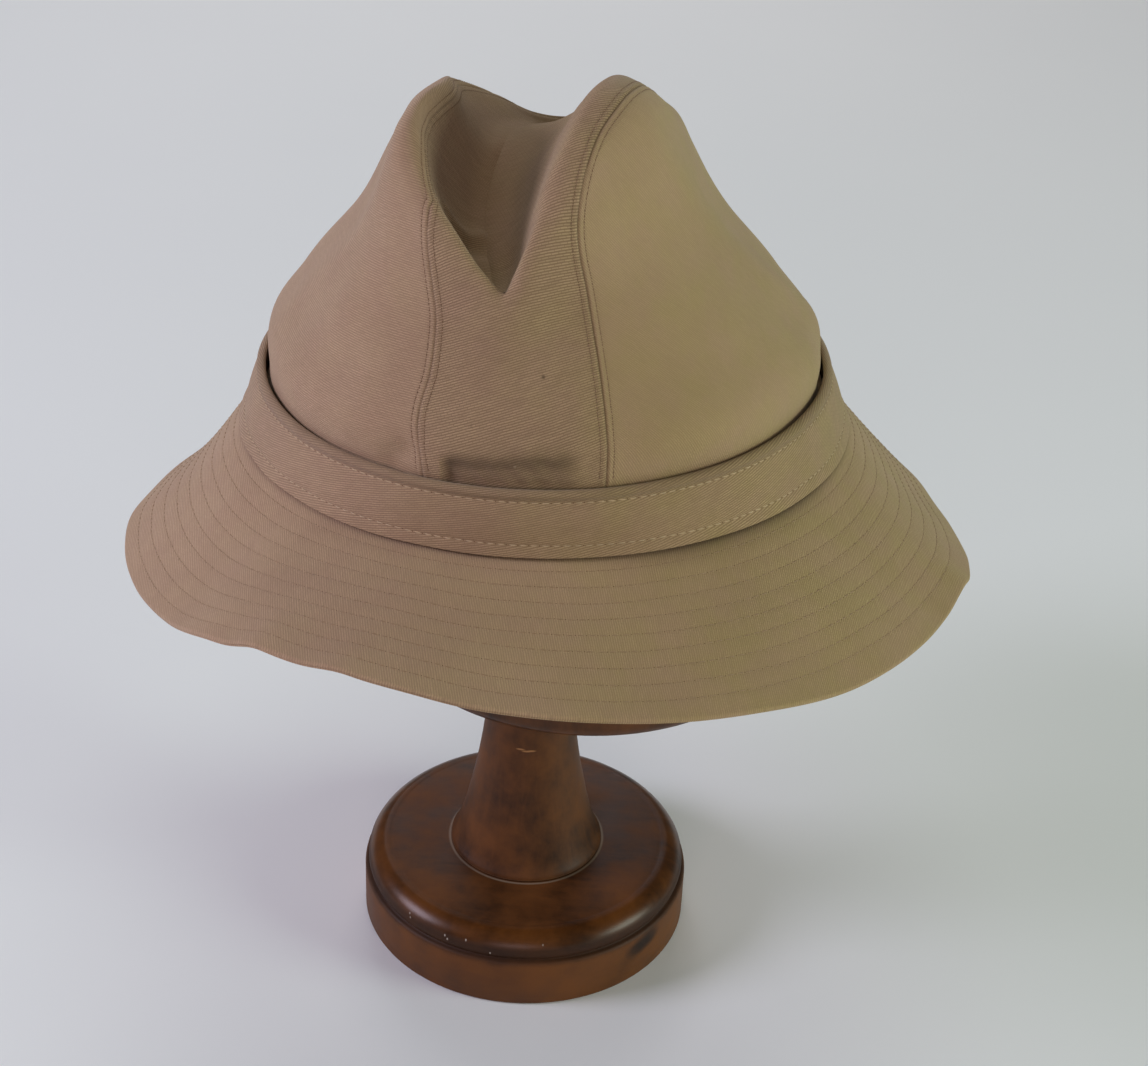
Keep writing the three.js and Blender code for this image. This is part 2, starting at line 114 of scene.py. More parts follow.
# %% [markdown]
# ## The shape of the crown
# A fedora's crown is a cloth cone pushed in along the middle, so its rim folds over into a dent.
# Each upright line of cloth is followed from the foot behind the band, over the waist, up the wall to
# the ridge of the dent, and down to the crease on the dent's floor. Turn is the angle from the front in
# degrees, positive to the viewer's right. Climb is -1 at the foot, 0 at the waist, 1 on the ridge and
# 2 on the crease. The rows are the ones that the solids were built from.

# %% Rows of the crown
OVAL_CENTRE_X = -1.7
OPENING_DROP_BACK = 12
OPENING_DROP_RIGHT = 1.5
CROWN_FOOT = {"half_x": 91.1, "half_y": 96, "z": 1.1}
CROWN_WAIST = {"half_x": 83.2, "half_y": 94.6, "z": 20.5}
RIDGE = table("turn x y z hollow", [
    (-150, -11.2, 44.5, 75.0, 0.02),
    (-120, -23.1, 27.3, 87.4, 0.006),
    (-92, -30.8, 3.9, 101.2, -0.036),
    (-70, -27.2, -24.5, 112.0, 0.018),
    (-55, -29.2, -37.1, 115.0, 0.014),
    (-42, -31.4, -45.6, 113.5, 0),
    (-31, -31.9, -52.2, 109.1, 0),
    (-23, -29.1, -59.3, 100.6, 0),
    (-16, -24.9, -65.5, 93.0, 0),
    (-10, -18.5, -70.7, 85.3, 0),
    (-5, -11.5, -74.9, 77.6, 0),
    (0, -4.3, -78.1, 70.4, 0),
    (5, 1.4, -72.7, 83.7, 0),
    (10, 6.0, -66.2, 93.5, 0),
    (16, 9.2, -59.8, 103.6, 0),
    (23, 12.4, -53.7, 110.3, 0),
    (32, 15.6, -46.7, 114.5, 0),
    (44, 19.8, -38.0, 117.3, 0),
    (60, 24.0, -25.5, 115.8, 0.002),
    (90, 26.3, 4.2, 100.8, -0.024),
    (120, 23.4, 31.8, 89.0, -0.014),
    (150, 12.8, 49.0, 76.0, 0.033),
    (180, 0.1, 59.0, 68.8, 0.04),
])
RIDGE_SOFTNESS = 0.5
CREASE = table("turn x y z", [
    (0, -4.5, -76.5, 68.2),
    (10, -7, -69.5, 66),
    (20, -10, -60, 65),
    (32, -13, -47, 68),
    (45, -15, -32, 73),
    (75, -13, -7, 83),
    (110, -9, 18, 80),
    (150, -4, 42, 69),
    (180, 0, 51, 64),
])
SKIRT = table("climb across up", [
    (-1, 1, 1),
    (-0.5, 0.33, 0.5),
])
WALL = table("climb across up", [
    (0, 0, 0),
    (0.1, 0.013, 0.1),
    (0.28, 0.21, 0.28),
    (0.55, 0.54, 0.55),
    (0.77, 0.725, 0.77),
    (0.88, 0.825, 0.89),
])
VALLEY = table("climb across up left_in", [
    (1, 0, 0, 0),
    (1.25, 0.26, 0.26, 0.13),
    (1.5, 0.5, 0.6, 0.15),
    (1.8, 0.78, 0.92, 0.08),
    (2, 1, 1, 0),
])


def oval(turn, half_x, half_y, z):
    """Points of an oval round the head, which lies lower at the back and on the right."""
    angle = np.radians(turn)
    x = OVAL_CENTRE_X + half_x * np.sin(angle)
    y = -half_y * np.cos(angle)
    drop = OPENING_DROP_BACK / 2 * (1 - np.cos(angle)) + OPENING_DROP_RIGHT * np.sin(angle)
    return np.stack([x, y, z - drop], axis=-1)


def xyz(row):
    """The x, y and z columns of a row as points."""
    return np.stack([row["x"], row["y"], row["z"]], axis=-1)


def shaped_crown(turn, climb):
    """Outer face of the crown in the hat's own frame, with the folds as the tables give them."""
    foot = oval(turn, **CROWN_FOOT)
    waist = oval(turn, **CROWN_WAIST)
    ridge_row = follow(RIDGE, "turn", turn, 360)
    ridge = xyz(ridge_row)
    crease = xyz(follow(CREASE, "turn", np.abs((turn + 180) % 360 - 180)))
    places = []
    knots = []
    left = np.sin(np.radians(np.clip(-1.5 * turn, 0, 180)))
    for rows, start, end in ((SKIRT, waist, foot), (WALL, waist, ridge), (VALLEY, ridge, crease)):
        for number, place in enumerate(rows["climb"]):
            across = rows["across"][number] + 0 * turn
            up = rows["up"][number] + 0 * turn
            if rows is WALL:
                across = across + ridge_row["hollow"] * math.sin(math.pi * place**0.5) ** 2
            if rows is VALLEY:
                across = across - rows["left_in"][number] * left
            share = np.stack([across, across, up], axis=-1)
            places.append(place)
            knots.append(start + (end - start) * share)
    top = len(SKIRT["climb"]) + len(WALL["climb"])
    knots[top] = knots[top] + RIDGE_SOFTNESS * ((knots[top - 1] + knots[top + 1]) / 2 - knots[top])
    return spline(np.array(places), np.stack(knots, axis=1), climb)


print("rows of the ridge, the crease, the wall and the valley:",
      [len(next(iter(rows.values()))) for rows in (RIDGE, CREASE, WALL, VALLEY)])

# %% [markdown]
# ## A soft fold
# Where the front of the dent folds over, the tables leave a thin edge. Doubled drill can't bend that
# sharply, so the fold is eased: each place near it moves to the average of the cloth a few millimetres
# to either side, measured across the fold. A bevel would need edges that run along the fold, while an
# average works on any grid that is laid over it.

# %% Easing the fold
FOLD_TURNS = np.arange(-90.0, 66.0)
FOLD_LINE = shaped_crown(FOLD_TURNS, np.ones_like(FOLD_TURNS))
FOLD_FADES = {"left": (-86, -60), "right": (40, 62), "beside": (4, 11)}
EASED_OVER = table("beside weight", [
    (-4.5, 1), (-3, 3), (-1.5, 5), (0, 6), (1.5, 5), (3, 3), (4.5, 1)])
NUDGE = {"turn": 0.4, "climb": 0.008, "step": 0.01}


def climb_length(climb):
    """Millimetres of cloth for a whole climb, measured from the fold to a climb near it."""
    beside = shaped_crown(FOLD_TURNS, np.full_like(FOLD_TURNS, climb))
    return np.linalg.norm(FOLD_LINE - beside, axis=1) / abs(climb - 1)


WALL_MM = climb_length(0.9)
VALLEY_MM = climb_length(1.2)


def crown(turn, climb):
    """Outer face of the crown with its fold eased."""
    points = shaped_crown(turn, climb)
    wall = np.interp(turn, FOLD_TURNS, WALL_MM)
    valley = np.interp(turn, FOLD_TURNS, VALLEY_MM)
    past = (climb - 1) * np.where(climb < 1, wall, valley)
    share = ease(turn, *FOLD_FADES["left"]) * (1 - ease(turn, *FOLD_FADES["right"]))
    share *= 1 - ease(np.abs(past), *FOLD_FADES["beside"])
    bent = share > 0
    average = np.zeros_like(points[bent])
    for beside, weight in zip(EASED_OVER["beside"], EASED_OVER["weight"] / EASED_OVER["weight"].sum()):
        place = past[bent] + beside
        place = 1 + place / np.where(place < 0, wall[bent], valley[bent])
        average += weight * shaped_crown(turn[bent], np.minimum(place, 2))
    points[bent] += (average - points[bent]) * share[bent][:, None]
    return points


def crown_normal(turn, climb):
    """Outward direction of the crown's face."""
    aside, higher = NUDGE["turn"], NUDGE["climb"]
    round_the_hat = crown(turn + aside, climb) - crown(turn - aside, climb)
    up_the_wall = crown(turn, np.minimum(climb + higher, 2)) - crown(turn, climb - higher)
    return unit(np.cross(round_the_hat, up_the_wall))


print("front waist of the crown, mm:", crown(np.zeros(1), np.zeros(1))[0].round(1))
fold_moves = np.linalg.norm(crown(FOLD_TURNS, np.ones_like(FOLD_TURNS)) - FOLD_LINE, axis=1)
print("largest move at the fold, mm:", round(float(fold_moves.max()), 2))

# %% [markdown]
# ## Seams between the crown's panels
# The crown is sewn from a long centre panel, front to back over the dent, and a panel on each side.
# A seam could be painted as a dark line, but a sewn seam is a small valley between two soft welts,
# and it catches the light, so the panels are cut apart along it and bent down into it.
# Each seam is a row of places given as turn and climb, from the front foot over the top to the back.

# %% Rows of the seams
RIGHT_SEAM = table("turn climb", [
    (16.2, -1.2), (16.8, -0.6), (17.7, -0.1), (18.4, 0.15), (18.9, 0.35), (18.5, 0.55),
    (17.5, 0.68), (17.6, 0.76), (19.3, 0.82), (23, 0.87), (30, 0.91), (39, 0.93), (54, 0.95),
    (75, 0.96), (100, 0.96), (125, 0.95), (146, 0.92), (157, 0.8), (162, 0.4), (163, 0), (164.5, -1.2),
])
LEFT_SEAM = table("turn climb", [
    (-15, -1.2), (-15.4, -0.6), (-16.3, -0.1), (-17.5, 0.12), (-17.4, 0.24), (-15.5, 0.375),
    (-14.5, 0.52), (-14.5, 0.6), (-15.5, 0.7), (-16.7, 0.81), (-17, 0.92), (-18, 1.02),
    (-24, 1.13), (-35, 1.21), (-45, 1.25),
    (-60, 1.29), (-85, 1.28), (-110, 1.18), (-138, 1.02), (-152, 0.86), (-160, 0.5), (-163, 0),
    (-164.5, -1.2),
])
PLAN_SCALE = np.array([1.6, 90.0])
SEAM_STEPS = {"to cut along": 180, "to search": 2600, "to sew along": 500}


def seam_places(rows, count):
    """Turn and climb along a seam."""
    numbered = {"place": np.arange(len(rows["turn"]), dtype=float), **rows}
    line = follow(numbered, "place", np.linspace(0, len(rows["turn"]) - 1, count))
    return np.stack([line["turn"], line["climb"]], axis=1)


def inside_seam(data, rows):
    """How far each place lies inside the side panel that a seam bounds; negative outside it."""
    plan = data[:, :2] * PLAN_SCALE
    line = seam_places(rows, SEAM_STEPS["to cut along"]) * PLAN_SCALE
    nearest = np.full(len(plan), np.inf)
    inside = np.zeros(len(plan), bool)
    for i, (a, b) in enumerate(zip(line, np.roll(line, -1, axis=0))):
        crosses = (a[1] > plan[:, 1]) != (b[1] > plan[:, 1])
        level = a[0] + (plan[:, 1] - a[1]) * (b[0] - a[0]) / ((b[1] - a[1]) or 1)
        inside ^= crosses & (plan[:, 0] < level)
        if i < len(line) - 1:
            along = np.clip((plan - a) @ (b - a) / ((b - a) @ (b - a)), 0, 1)
            nearest = np.minimum(nearest, np.linalg.norm(plan - a - along[:, None] * (b - a), axis=1))
    return np.where(inside, nearest, -nearest)


def dense_seam(rows):
    """Points close together along a seam, on the crown's face."""
    places = seam_places(rows, SEAM_STEPS["to search"])
    return crown(places[:, 0], np.maximum(places[:, 1], -1))


seam_points = np.concatenate([dense_seam(RIGHT_SEAM), dense_seam(LEFT_SEAM)])
seam_tree = KDTree(len(seam_points))
for index, point in enumerate(seam_points):
    seam_tree.insert(point, index)
seam_tree.balance()
print("points along both seams:", len(seam_points))

# %% [markdown]
# ## Folds, dents and the worn hollow above the band
# Soft cloth never keeps a perfect surface. Each row below is one fold or dent: a short path on the
# crown from one place to another, how wide it is and how far it stands out, negative for a dent.
# A sculpted mesh could hold them too, but rows can be read and changed. The hollow above the band is a
# pressed oblong: its upper edge wanders, its left end is the deepest and its right end fades away.
# The hollow's upper edge, its left end and its inside are darkened with painted shade, and so are the
# seams and their stitch rows.

# %% Relief of the crown
FOLDS = table("turn_a climb_a turn_b climb_b width height", [
    (-37, 0.87, -73, 0.26, 9, 0.9),
    (52, 0.80, 93, 0.19, 8, 1.3),
    (-29, 1.52, -36, 1.95, 2.2, 1.0),
    (-25, 1.62, -30, 1.92, 3, -1.0),
    (-23, 0.03, -20, 0.08, 4.5, -1.4),
    (-30, 0.16, 14, 0.22, 11, 0.7),
    (30, 0.12, 80, 0.1, 9, 0.8),
    (-75, 0.12, -35, 0.1, 9, 0.7),
])
HOLLOW = {"left": -21.0, "right": 18.0, "top": 26.6, "slope": 0.065, "depth": 1.0, "pucker": 0.16}
HOLLOW_WAVES = table("per_mm shift height", [(0.33, 0.6, 0.2), (0.81, 2.0, 0.12)])
HOLLOW_FADES = {"left": 2.4, "right": 12, "top": (-2.6, 3.4)}
HOLLOW_DEEPER = {"width": 3, "height": 0.35}
HOLLOW_LIP = {"width": 1.6, "height": 0.2}
# painted shade in the hollow: under its upper edge, above it and at its left end
HOLLOW_PAINTED_SHADE = {
    "under top": {"width": 2.1, "height": 0.26},
    "above": {"width": 5.0, "height": 0.1},
    "at left": {"width": 2.3, "height": 0.2},
}
FRONT_OF_Y = -60
SEAM_STITCH_AWAY = 1.9
SEAM_GAPE = {"left": 0.55, "right": 0.75}
SEAMS_PART_AT_X = 5
WELT = {"width": 2.6, "height": 0.3}
SEAM_VALLEY = {"width": 0.36, "height": -0.6}
STITCH_PULL = {"width": 0.5, "height": -0.1}
# painted shade in each seam's valley and along its stitch rows
VALLEY_PAINTED_SHADE = {"width": 0.3, "height": 0.5}
STITCH_PAINTED_SHADE = {"width": 0.6, "height": 0.08}
RIPPLES = table("along_x along_y along_z shift height", [
    (0.16, 0.05, 0.11, 0.4, 0.16),
    (-0.07, 0.19, 0.13, 1.9, 0.14),
    (0.21, -0.14, -0.09, 3.1, 0.10),
])
RIPPLE_SHARE = {"band": 0.5, "brim": 0.8}


def gentle_ripples(points):
    """Small slow waves that keep the cloth from looking moulded."""
    waves = np.stack([RIPPLES["along_x"], RIPPLES["along_y"], RIPPLES["along_z"]])
    return np.sin(points @ waves + RIPPLES["shift"]) @ RIPPLES["height"]


def fold_relief(points):
    """All folds and dents of the crown, added up."""
    total = np.zeros(len(points))
    share = np.linspace(0, 1, 40)
    for row in zip(*FOLDS.values()):
        turn_a, climb_a, turn_b, climb_b, width, height = row
        path = crown(turn_a + (turn_b - turn_a) * share, climb_a + (climb_b - climb_a) * share)
        far = np.linalg.norm(points[:, None, :] - path[None], axis=2).min(axis=1)
        total += height * mound(far, width)
    return total


def hollow_top(x):
    """Height of the hollow's upper edge, which climbs a little to the right and wanders."""
    climbing = HOLLOW["top"] + HOLLOW["slope"] * (x - HOLLOW["left"])
    waves = np.sin(np.outer(x, HOLLOW_WAVES["per_mm"]) + HOLLOW_WAVES["shift"])
    return climbing + waves @ HOLLOW_WAVES["height"]


def hollow_relief(points):
    """The pressed oblong in the front, just above the band, with its puckers."""
    x, y, z = points.T
    top = hollow_top(x)
    left_end = ease(x, HOLLOW["left"], HOLLOW["left"] + HOLLOW_FADES["left"])
    right_end = 1 - ease(x, HOLLOW["right"] - HOLLOW_FADES["right"], HOLLOW["right"])
    wide = left_end * right_end
    pressed = wide * ease(top - z, *HOLLOW_FADES["top"])
    deeper = 1 + mound(x - HOLLOW["left"] - 3, **HOLLOW_DEEPER)
    pucker = HOLLOW["pucker"] * np.sin(1.05 * x + 0.8 * z) * pressed
    lip = wide * mound(z - top - 1.8, **HOLLOW_LIP)
    return np.where(y < FRONT_OF_Y, lip - HOLLOW["depth"] * deeper * pressed + pucker, 0)


def hollow_painted_shade(points):
    """How much painted shade lies along the hollow's upper edge, in its left end and inside it."""
    x, y, z = points.T
    top = hollow_top(x)
    left_end = ease(x, HOLLOW["left"], HOLLOW["left"] + 3)
    right_end = 1 - ease(x, HOLLOW["right"] - 6, HOLLOW["right"] + 1)
    under_top = mound(z - top + 0.6, **HOLLOW_PAINTED_SHADE["under top"])
    above = mound(z - top, **HOLLOW_PAINTED_SHADE["above"])
    at_left = mound(x - HOLLOW["left"] - 2.6, **HOLLOW_PAINTED_SHADE["at left"]) * ease(top - z, -0.5, 1)
    inside = 0.22 * ease(top - z, -1.5, 2.5)
    return np.where(y < FRONT_OF_Y, left_end * right_end * (under_top + at_left + inside + above), 0)


def from_seam(points):
    """Distance of each point from the nearest seam."""
    return np.array([seam_tree.find(point)[2] for point in points])


def seam_gape(points):
    """How far each seam is pulled open: the left one lies flatter than the right one."""
    return np.where(points[:, 0] < SEAMS_PART_AT_X, SEAM_GAPE["left"], SEAM_GAPE["right"])


def seam_relief(far, gape):
    """Welts beside a seam, the valley in it, and the fine dips where its stitches pull."""
    pull = mound(far - SEAM_STITCH_AWAY, **STITCH_PULL)
    return mound(far, **WELT) + gape * mound(far, **SEAM_VALLEY) + pull


def seam_painted_shade(far, gape):
    """Painted shade in the seam's valley and along its stitch rows."""
    return gape * mound(far, **VALLEY_PAINTED_SHADE) + mound(far - SEAM_STITCH_AWAY, **STITCH_PAINTED_SHADE)


print("folds and dents on the crown:", len(FOLDS["width"]))

# %% [markdown]
# ## Colours and the one helper for shader nodes
# Colours are picked as screen values, the way a paint chart gives them, and turned to the linear values
# that the renderer counts with. Materials are built from nodes, and one small function adds a node,
# sets its options, fills its sockets and links it, so each material below reads as a short recipe.
# Dye, wear and dirt lie over each other on a real surface, so a material's colour is a ground with
# layers over it, and a mark is a layer that shows only near a place.

# %% Colour and node helpers
MIX_SHARE, MIX_UNDER, MIX_OVER, MIX_RESULT = 0, 6, 7, 2
MARK_CORE = 0.4


def colour(code):
    """A screen colour such as #B09A78 as linear red, green, blue and a full alpha."""
    channels = [int(code[i:i + 2], 16) / 255 for i in (1, 3, 5)]
    linear = [c / 12.92 if c <= 0.04045 else ((c + 0.055) / 1.055) ** 2.4 for c in channels]
    return (*linear, 1.0)


def fill(tree, node, inputs):
    """Fills a node's sockets: an output of another node is linked, anything else is set there."""
    for name, value in inputs.items():
        if isinstance(value, bpy.types.NodeSocket):
            tree.links.new(value, node.inputs[name])
        else:
            node.inputs[name].default_value = value


def add(tree, kind, output, inputs=None, **options):
    """Adds one shader node with its options, socket values and links, and gives one of its outputs."""
    made = tree.nodes.new("ShaderNode" + kind)
    for name, value in options.items():
        setattr(made, name, value)
    fill(tree, made, inputs or {})
    return made.outputs[output]


def new_material(name):
    """An empty node material and its shader, which starts as a plain Principled one."""
    material = bpy.data.materials.new(name)
    material.use_nodes = True
    tree = material.node_tree
    return material, tree, tree.nodes["Principled BSDF"]


def layered(tree, ground, layers):
    """A ground colour with colours laid over it in turn, each by its own share."""
    result = colour(ground)
    for share, tint in layers:
        inputs = {MIX_SHARE: share, MIX_UNDER: result, MIX_OVER: colour(tint)}
        result = add(tree, "Mix", MIX_RESULT, inputs, data_type="RGBA")
    return result


def mark_layers(tree, place, marks):
    """A layer for each place of each mark: strong in its core and gone at its half sizes, in mm."""
    layers = []
    for mark in marks:
        half = [size / 1000 for size in mark["half"]]
        scaled = add(tree, "VectorMath", "Vector", {0: place, 1: half}, operation="DIVIDE")
        for at in mark["at"]:
            middle = [along / 1000 / size for along, size in zip(at, half)]
            far = add(tree, "VectorMath", "Value", {0: scaled, 1: middle}, operation="DISTANCE")
            near = add(tree, "MapRange", "Result", {
                "Value": far, "From Min": 1.0, "From Max": MARK_CORE, "To Max": mark["strength"]})
            layers.append((near, mark["tint"]))
    return layers


print("khaki as linear values:", [round(c, 3) for c in colour("#B09A78")])

# %% [markdown]
# ## Cotton twill
# The hat is cotton drill, a heavy twill: each yarn floats over several others, and the floats step
# sideways from row to row, which the eye reads as fine slanted ribs. The yarns are matt, with short
# fibres that glow a little at grazing angles, so roughness is high and there is a light sheen.
# Ribs on this drill are about 0.6 mm apart; here they are drawn at 0.66 mm so that they show.
# Every cloth piece carries its own flat cloth coordinates in millimetres, with x along the ribs, so one
# material serves all panels and each keeps its own direction of cut. The third coordinate says how
# strongly the ribs show on that piece.
# A painted light tint runs across the hat, pinker on the left and more olive on the right.
# A point attribute of painted shade darkens the cloth in the seams, the hollow above the band, the band's
# roll and the brim beside the band.
# The darkening in the ribs' valleys is painted shade.

# %% The weave
RIB_MM = 0.66
FLOAT_MM = 1.9
SLUB_MM = (4.55, 0.77)
WAVE_UNIT = 2 * math.pi / 20


def woven_height(tree, cloth):
    """Height of the weave: slanted ribs, the floats along them, and yarn of uneven thickness."""
    ribs = add(tree, "TexWave", "Fac", {
        "Vector": cloth, "Scale": WAVE_UNIT / RIB_MM, "Distortion": 1.3, "Detail": 2.0,
        "Detail Scale": 0.5}, wave_type="BANDS", bands_direction="Y", wave_profile="SIN")
    floats = add(tree, "TexBrick", "Color", {
        "Vector": cloth, "Scale": 1.0, "Mortar Size": 0.09, "Mortar Smooth": 0.6,
        "Brick Width": FLOAT_MM, "Row Height": RIB_MM,
        "Color1": (1, 1, 1, 1), "Color2": (0.72, 0.72, 0.72, 1), "Mortar": (0.1, 0.1, 0.1, 1)})
    long = add(tree, "Mapping", "Vector", {
        "Vector": cloth, "Scale": (1 / SLUB_MM[0], 1 / SLUB_MM[1], 1.0)})
    slubs = add(tree, "TexNoise", "Fac", {"Vector": long, "Scale": 1.0, "Detail": 2.0})
    thick = add(tree, "MapRange", "Result", {
        "Value": slubs, "From Min": 0.32, "From Max": 0.68, "To Min": 0.6, "To Max": 1.0})
    weave = add(tree, "Math", "Value", {0: ribs, 1: floats}, operation="MULTIPLY")
    return add(tree, "Math", "Value", {0: weave, 1: thick}, operation="MULTIPLY")


print("ribs to the centimetre:", round(10 / RIB_MM, 1))

# %% Twill material
FUZZ_MM = 0.625
CLOUD_MM = 13.3
WORN_MM = 45.5
# painted light: across these x places the cloth turns from pinker on the left to more olive on the right
LIGHT_TINT_FROM_X_M, LIGHT_TINT_TO_X_M = -0.06, 0.07
SPECK_HALF = (0.7, 0.7, 0.7)
SPECKS = [
    {"tint": "#3A2C1E", "half": SPECK_HALF, "strength": 0.6, "at": [(7.3, -80.7, 248.9)]},
    {"tint": "#4A3524", "half": SPECK_HALF, "strength": 0.6, "at": [(-11.0, -86.3, 235.3)]},
    {"tint": "#E0CDAC", "half": SPECK_HALF, "strength": 0.6, "at": [(1.3, -89.6, 226.1)]},
]


def cotton_twill():
    """Khaki cotton drill, woven, dyed and washed soft, with painted shade and a painted light tint."""
    material, tree, shader = new_material("cotton twill")
    cloth = add(tree, "Attribute", "Vector", attribute_name="cloth_mm")
    # painted shade from each piece's point attribute, laid over the cloth in dark brown
    painted_shade_share = add(tree, "Attribute", "Fac", attribute_name="painted_shade")
    place = add(tree, "TexCoord", "Object")
    weave = woven_height(tree, cloth)
    # painted light: a tint across the hat, pinker on the left and more olive on the right
    across = add(tree, "SeparateXYZ", "X", {"Vector": place})
    side_light_tint = add(tree, "MapRange", "Result", {
        "Value": across, "From Min": LIGHT_TINT_FROM_X_M, "From Max": LIGHT_TINT_TO_X_M},
        interpolation_type="SMOOTHSTEP")
    cloudy = add(tree, "TexNoise", "Fac", {
        "Vector": place, "Scale": 1000 / CLOUD_MM, "Detail": 3.0, "Roughness": 0.55})
    rosy = add(tree, "MapRange", "Result", {
        "Value": cloudy, "From Min": 0.35, "From Max": 0.65, "To Max": 0.42})
    worn = add(tree, "TexNoise", "Fac", {
        "Vector": place, "Scale": 1000 / WORN_MM, "Detail": 4.0, "Roughness": 0.6})
    patchy = add(tree, "MapRange", "Result", {
        "Value": worn, "From Min": 0.3, "From Max": 0.7, "To Max": 0.22})
    # painted shade in the weave's valleys, set stronger or weaker for each piece
    valleys = add(tree, "MapRange", "Result", {
        "Value": weave, "From Max": 0.75, "To Min": 0.4, "To Max": 0.0})
    show = add(tree, "SeparateXYZ", "Z", {"Vector": cloth})
    shade = add(tree, "Math", "Value", {0: valleys, 1: show}, operation="MULTIPLY")
    yarn = layered(tree, "#BEA284", [
        (side_light_tint, "#AE996C"), (rosy, "#B5957E"), (patchy, "#8A7052"), (shade, "#54422D"),
        *mark_layers(tree, place, SPECKS), (painted_shade_share, "#33261A")])
    fuzz = add(tree, "TexNoise", "Fac", {"Vector": cloth, "Scale": 1 / FUZZ_MM, "Detail": 3.0})
    height = add(tree, "Math", "Value", {0: fuzz, 1: 0.5, 2: weave}, operation="MULTIPLY_ADD")
    bump = add(tree, "Bump", "Normal", {"Height": height, "Strength": 0.6, "Distance": 0.00015})
    fill(tree, shader, {
        "Base Color": yarn, "Normal": bump, "Roughness": 0.92, "IOR": 1.5, "Specular IOR Level": 0.25,
        "Sheen Weight": 0.12, "Sheen Roughness": 0.5})
    return material


twill = cotton_twill()
print("cloth material:", twill.name, "with", len(twill.node_tree.nodes), "nodes")

# %% [markdown]
# ## Making a piece
# Every piece is a plain mesh in the shared frame. It rides on the part's one body, takes its material,
# and hides the CAD node that it covers.
# The hat's own frame is tilted a little on the stand, so its points are turned and moved first.

# %% Helpers for pieces
HAT_PLACE = np.array([2.5, 4.0, 200.0])
HAT_TILT = math.radians(-2)


def on_stand(points):
    """Points of the hat's own frame where they lie on the stand."""
    cos, sin = math.cos(HAT_TILT), math.sin(HAT_TILT)
    turn = np.array([[cos, 0, sin], [0, 1, 0], [-sin, 0, cos]])
    return points @ turn.T + HAT_PLACE


def make_piece(name, points, faces, material, stands_for=None, cloth=None, painted_shade=None, crisp=40):
    """A mesh piece from points in millimetres of the shared frame."""
    mesh = bpy.data.meshes.new(name)
    mesh.from_pydata((points / 1000).tolist(), [], faces)
    mesh.shade_smooth()
    mesh.set_sharp_from_angle(angle=math.radians(crisp))
    mesh.materials.append(material)
    if cloth is not None:
        flat = cloth.astype(np.float32).ravel()
        mesh.attributes.new("cloth_mm", "FLOAT_VECTOR", "POINT").data.foreach_set("vector", flat)
    # painted shade, kept on the mesh as a point attribute for the twill
    if painted_shade is not None:
        painted_shade_share = painted_shade.astype(np.float32)
        mesh.attributes.new("painted_shade", "FLOAT", "POINT").data.foreach_set("value", painted_shade_share)
    piece = bpy.data.objects.new(name, mesh)
    bpy.context.scene.collection.objects.link(piece)
    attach(piece, "root")
    if stands_for:
        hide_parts(stands_for)
    triangles = sum(len(polygon.vertices) - 2 for polygon in mesh.polygons)
    print(name, "triangles:", triangles)
    return piece


def point_normals(points, faces):
    """Outward directions of a sheet's points, from the faces round each."""
    total = np.zeros_like(points)
    for face in faces:
        a, b, c = points[face[0]], points[face[1]], points[face[2]]
        d = points[face[3]] if len(face) > 3 else c
        area = np.cross(c - a, d - b) if len(face) > 3 else np.cross(b - a, c - a)
        for corner in face:
            total[corner] += area
    return unit(total)


def thicken(points, faces, thickness):
    """Closes a sheet into a shell with an inner face and rims."""
    count = len(points)
    inner = points - point_normals(points, faces) * thickness
    edges = {}
    for face in faces:
        for a, b in zip(face, face[1:] + face[:1]):
            edges[a, b] = True
    closed = list(faces) + [tuple(i + count for i in reversed(face)) for face in faces]
    for a, b in edges:
        if (b, a) not in edges:
            closed.append((b, a, a + count, b + count))
    return np.concatenate([points, inner]), closed


def turned_cloth(cloth, degrees, show):
    """Cloth coordinates with x along ribs at that slant to the row, and how strongly the ribs show."""
    cos, sin = math.cos(math.radians(degrees)), math.sin(math.radians(degrees))
    turned = cloth @ np.array([[cos, -sin], [sin, cos]])
    return np.column_stack([turned, np.full(len(cloth), show)])


print("the hat sits at, mm:", HAT_PLACE)

# %% [markdown]
# ## Cutting the crown into panels
# The crown is laid out once as a grid of turn and climb, finer where seams and the dent's rim run.
# Subdividing the CAD mesh would keep its facets, so the grid is read from the smooth curves instead.
# Each panel keeps the cells on its side, and a cell that a seam crosses is cut exactly on the seam.

# %% The crown's grid
TURN_STEPS = table("until step", [
    (13, 0.8), (21, 0.32), (45, 0.9), (158, 1.5), (166, 0.5), (180, 1.2)])
CLIMB_STEPS = table("until step", [
    (0, 0.09), (0.14, 0.007), (0.86, 0.02), (1.16, 0.0065), (1.3, 0.016), (2, 0.028)])


def stepped(start, rows):
    """Places from a start, in steps that change along the way."""
    places = [start]
    for until, step in zip(rows["until"], rows["step"]):
        count = max(1, round((until - places[-1]) / step))
        places.extend(np.linspace(places[-1], until, count + 1)[1:])
    return np.array(places)


half_turns = stepped(0.0, TURN_STEPS)
turns = np.concatenate([-half_turns[:0:-1], half_turns])
climbs = stepped(-1.0, CLIMB_STEPS)
grid_turn, grid_climb = np.meshgrid(turns, climbs, indexing="ij")
grid_points = crown(grid_turn.ravel(), grid_climb.ravel()).reshape(*grid_turn.shape, 3)
cells_wide, cells_high = len(turns) - 1, len(climbs) - 1
corner = np.arange(grid_turn.size).reshape(grid_turn.shape)
grid_faces = np.stack([corner[:-1, :-1], corner[1:, :-1], corner[1:, 1:], corner[:-1, 1:]], axis=-1)
grid_faces = grid_faces.reshape(-1, 4)
print("crown grid:", cells_wide, "by", cells_high, "cells")

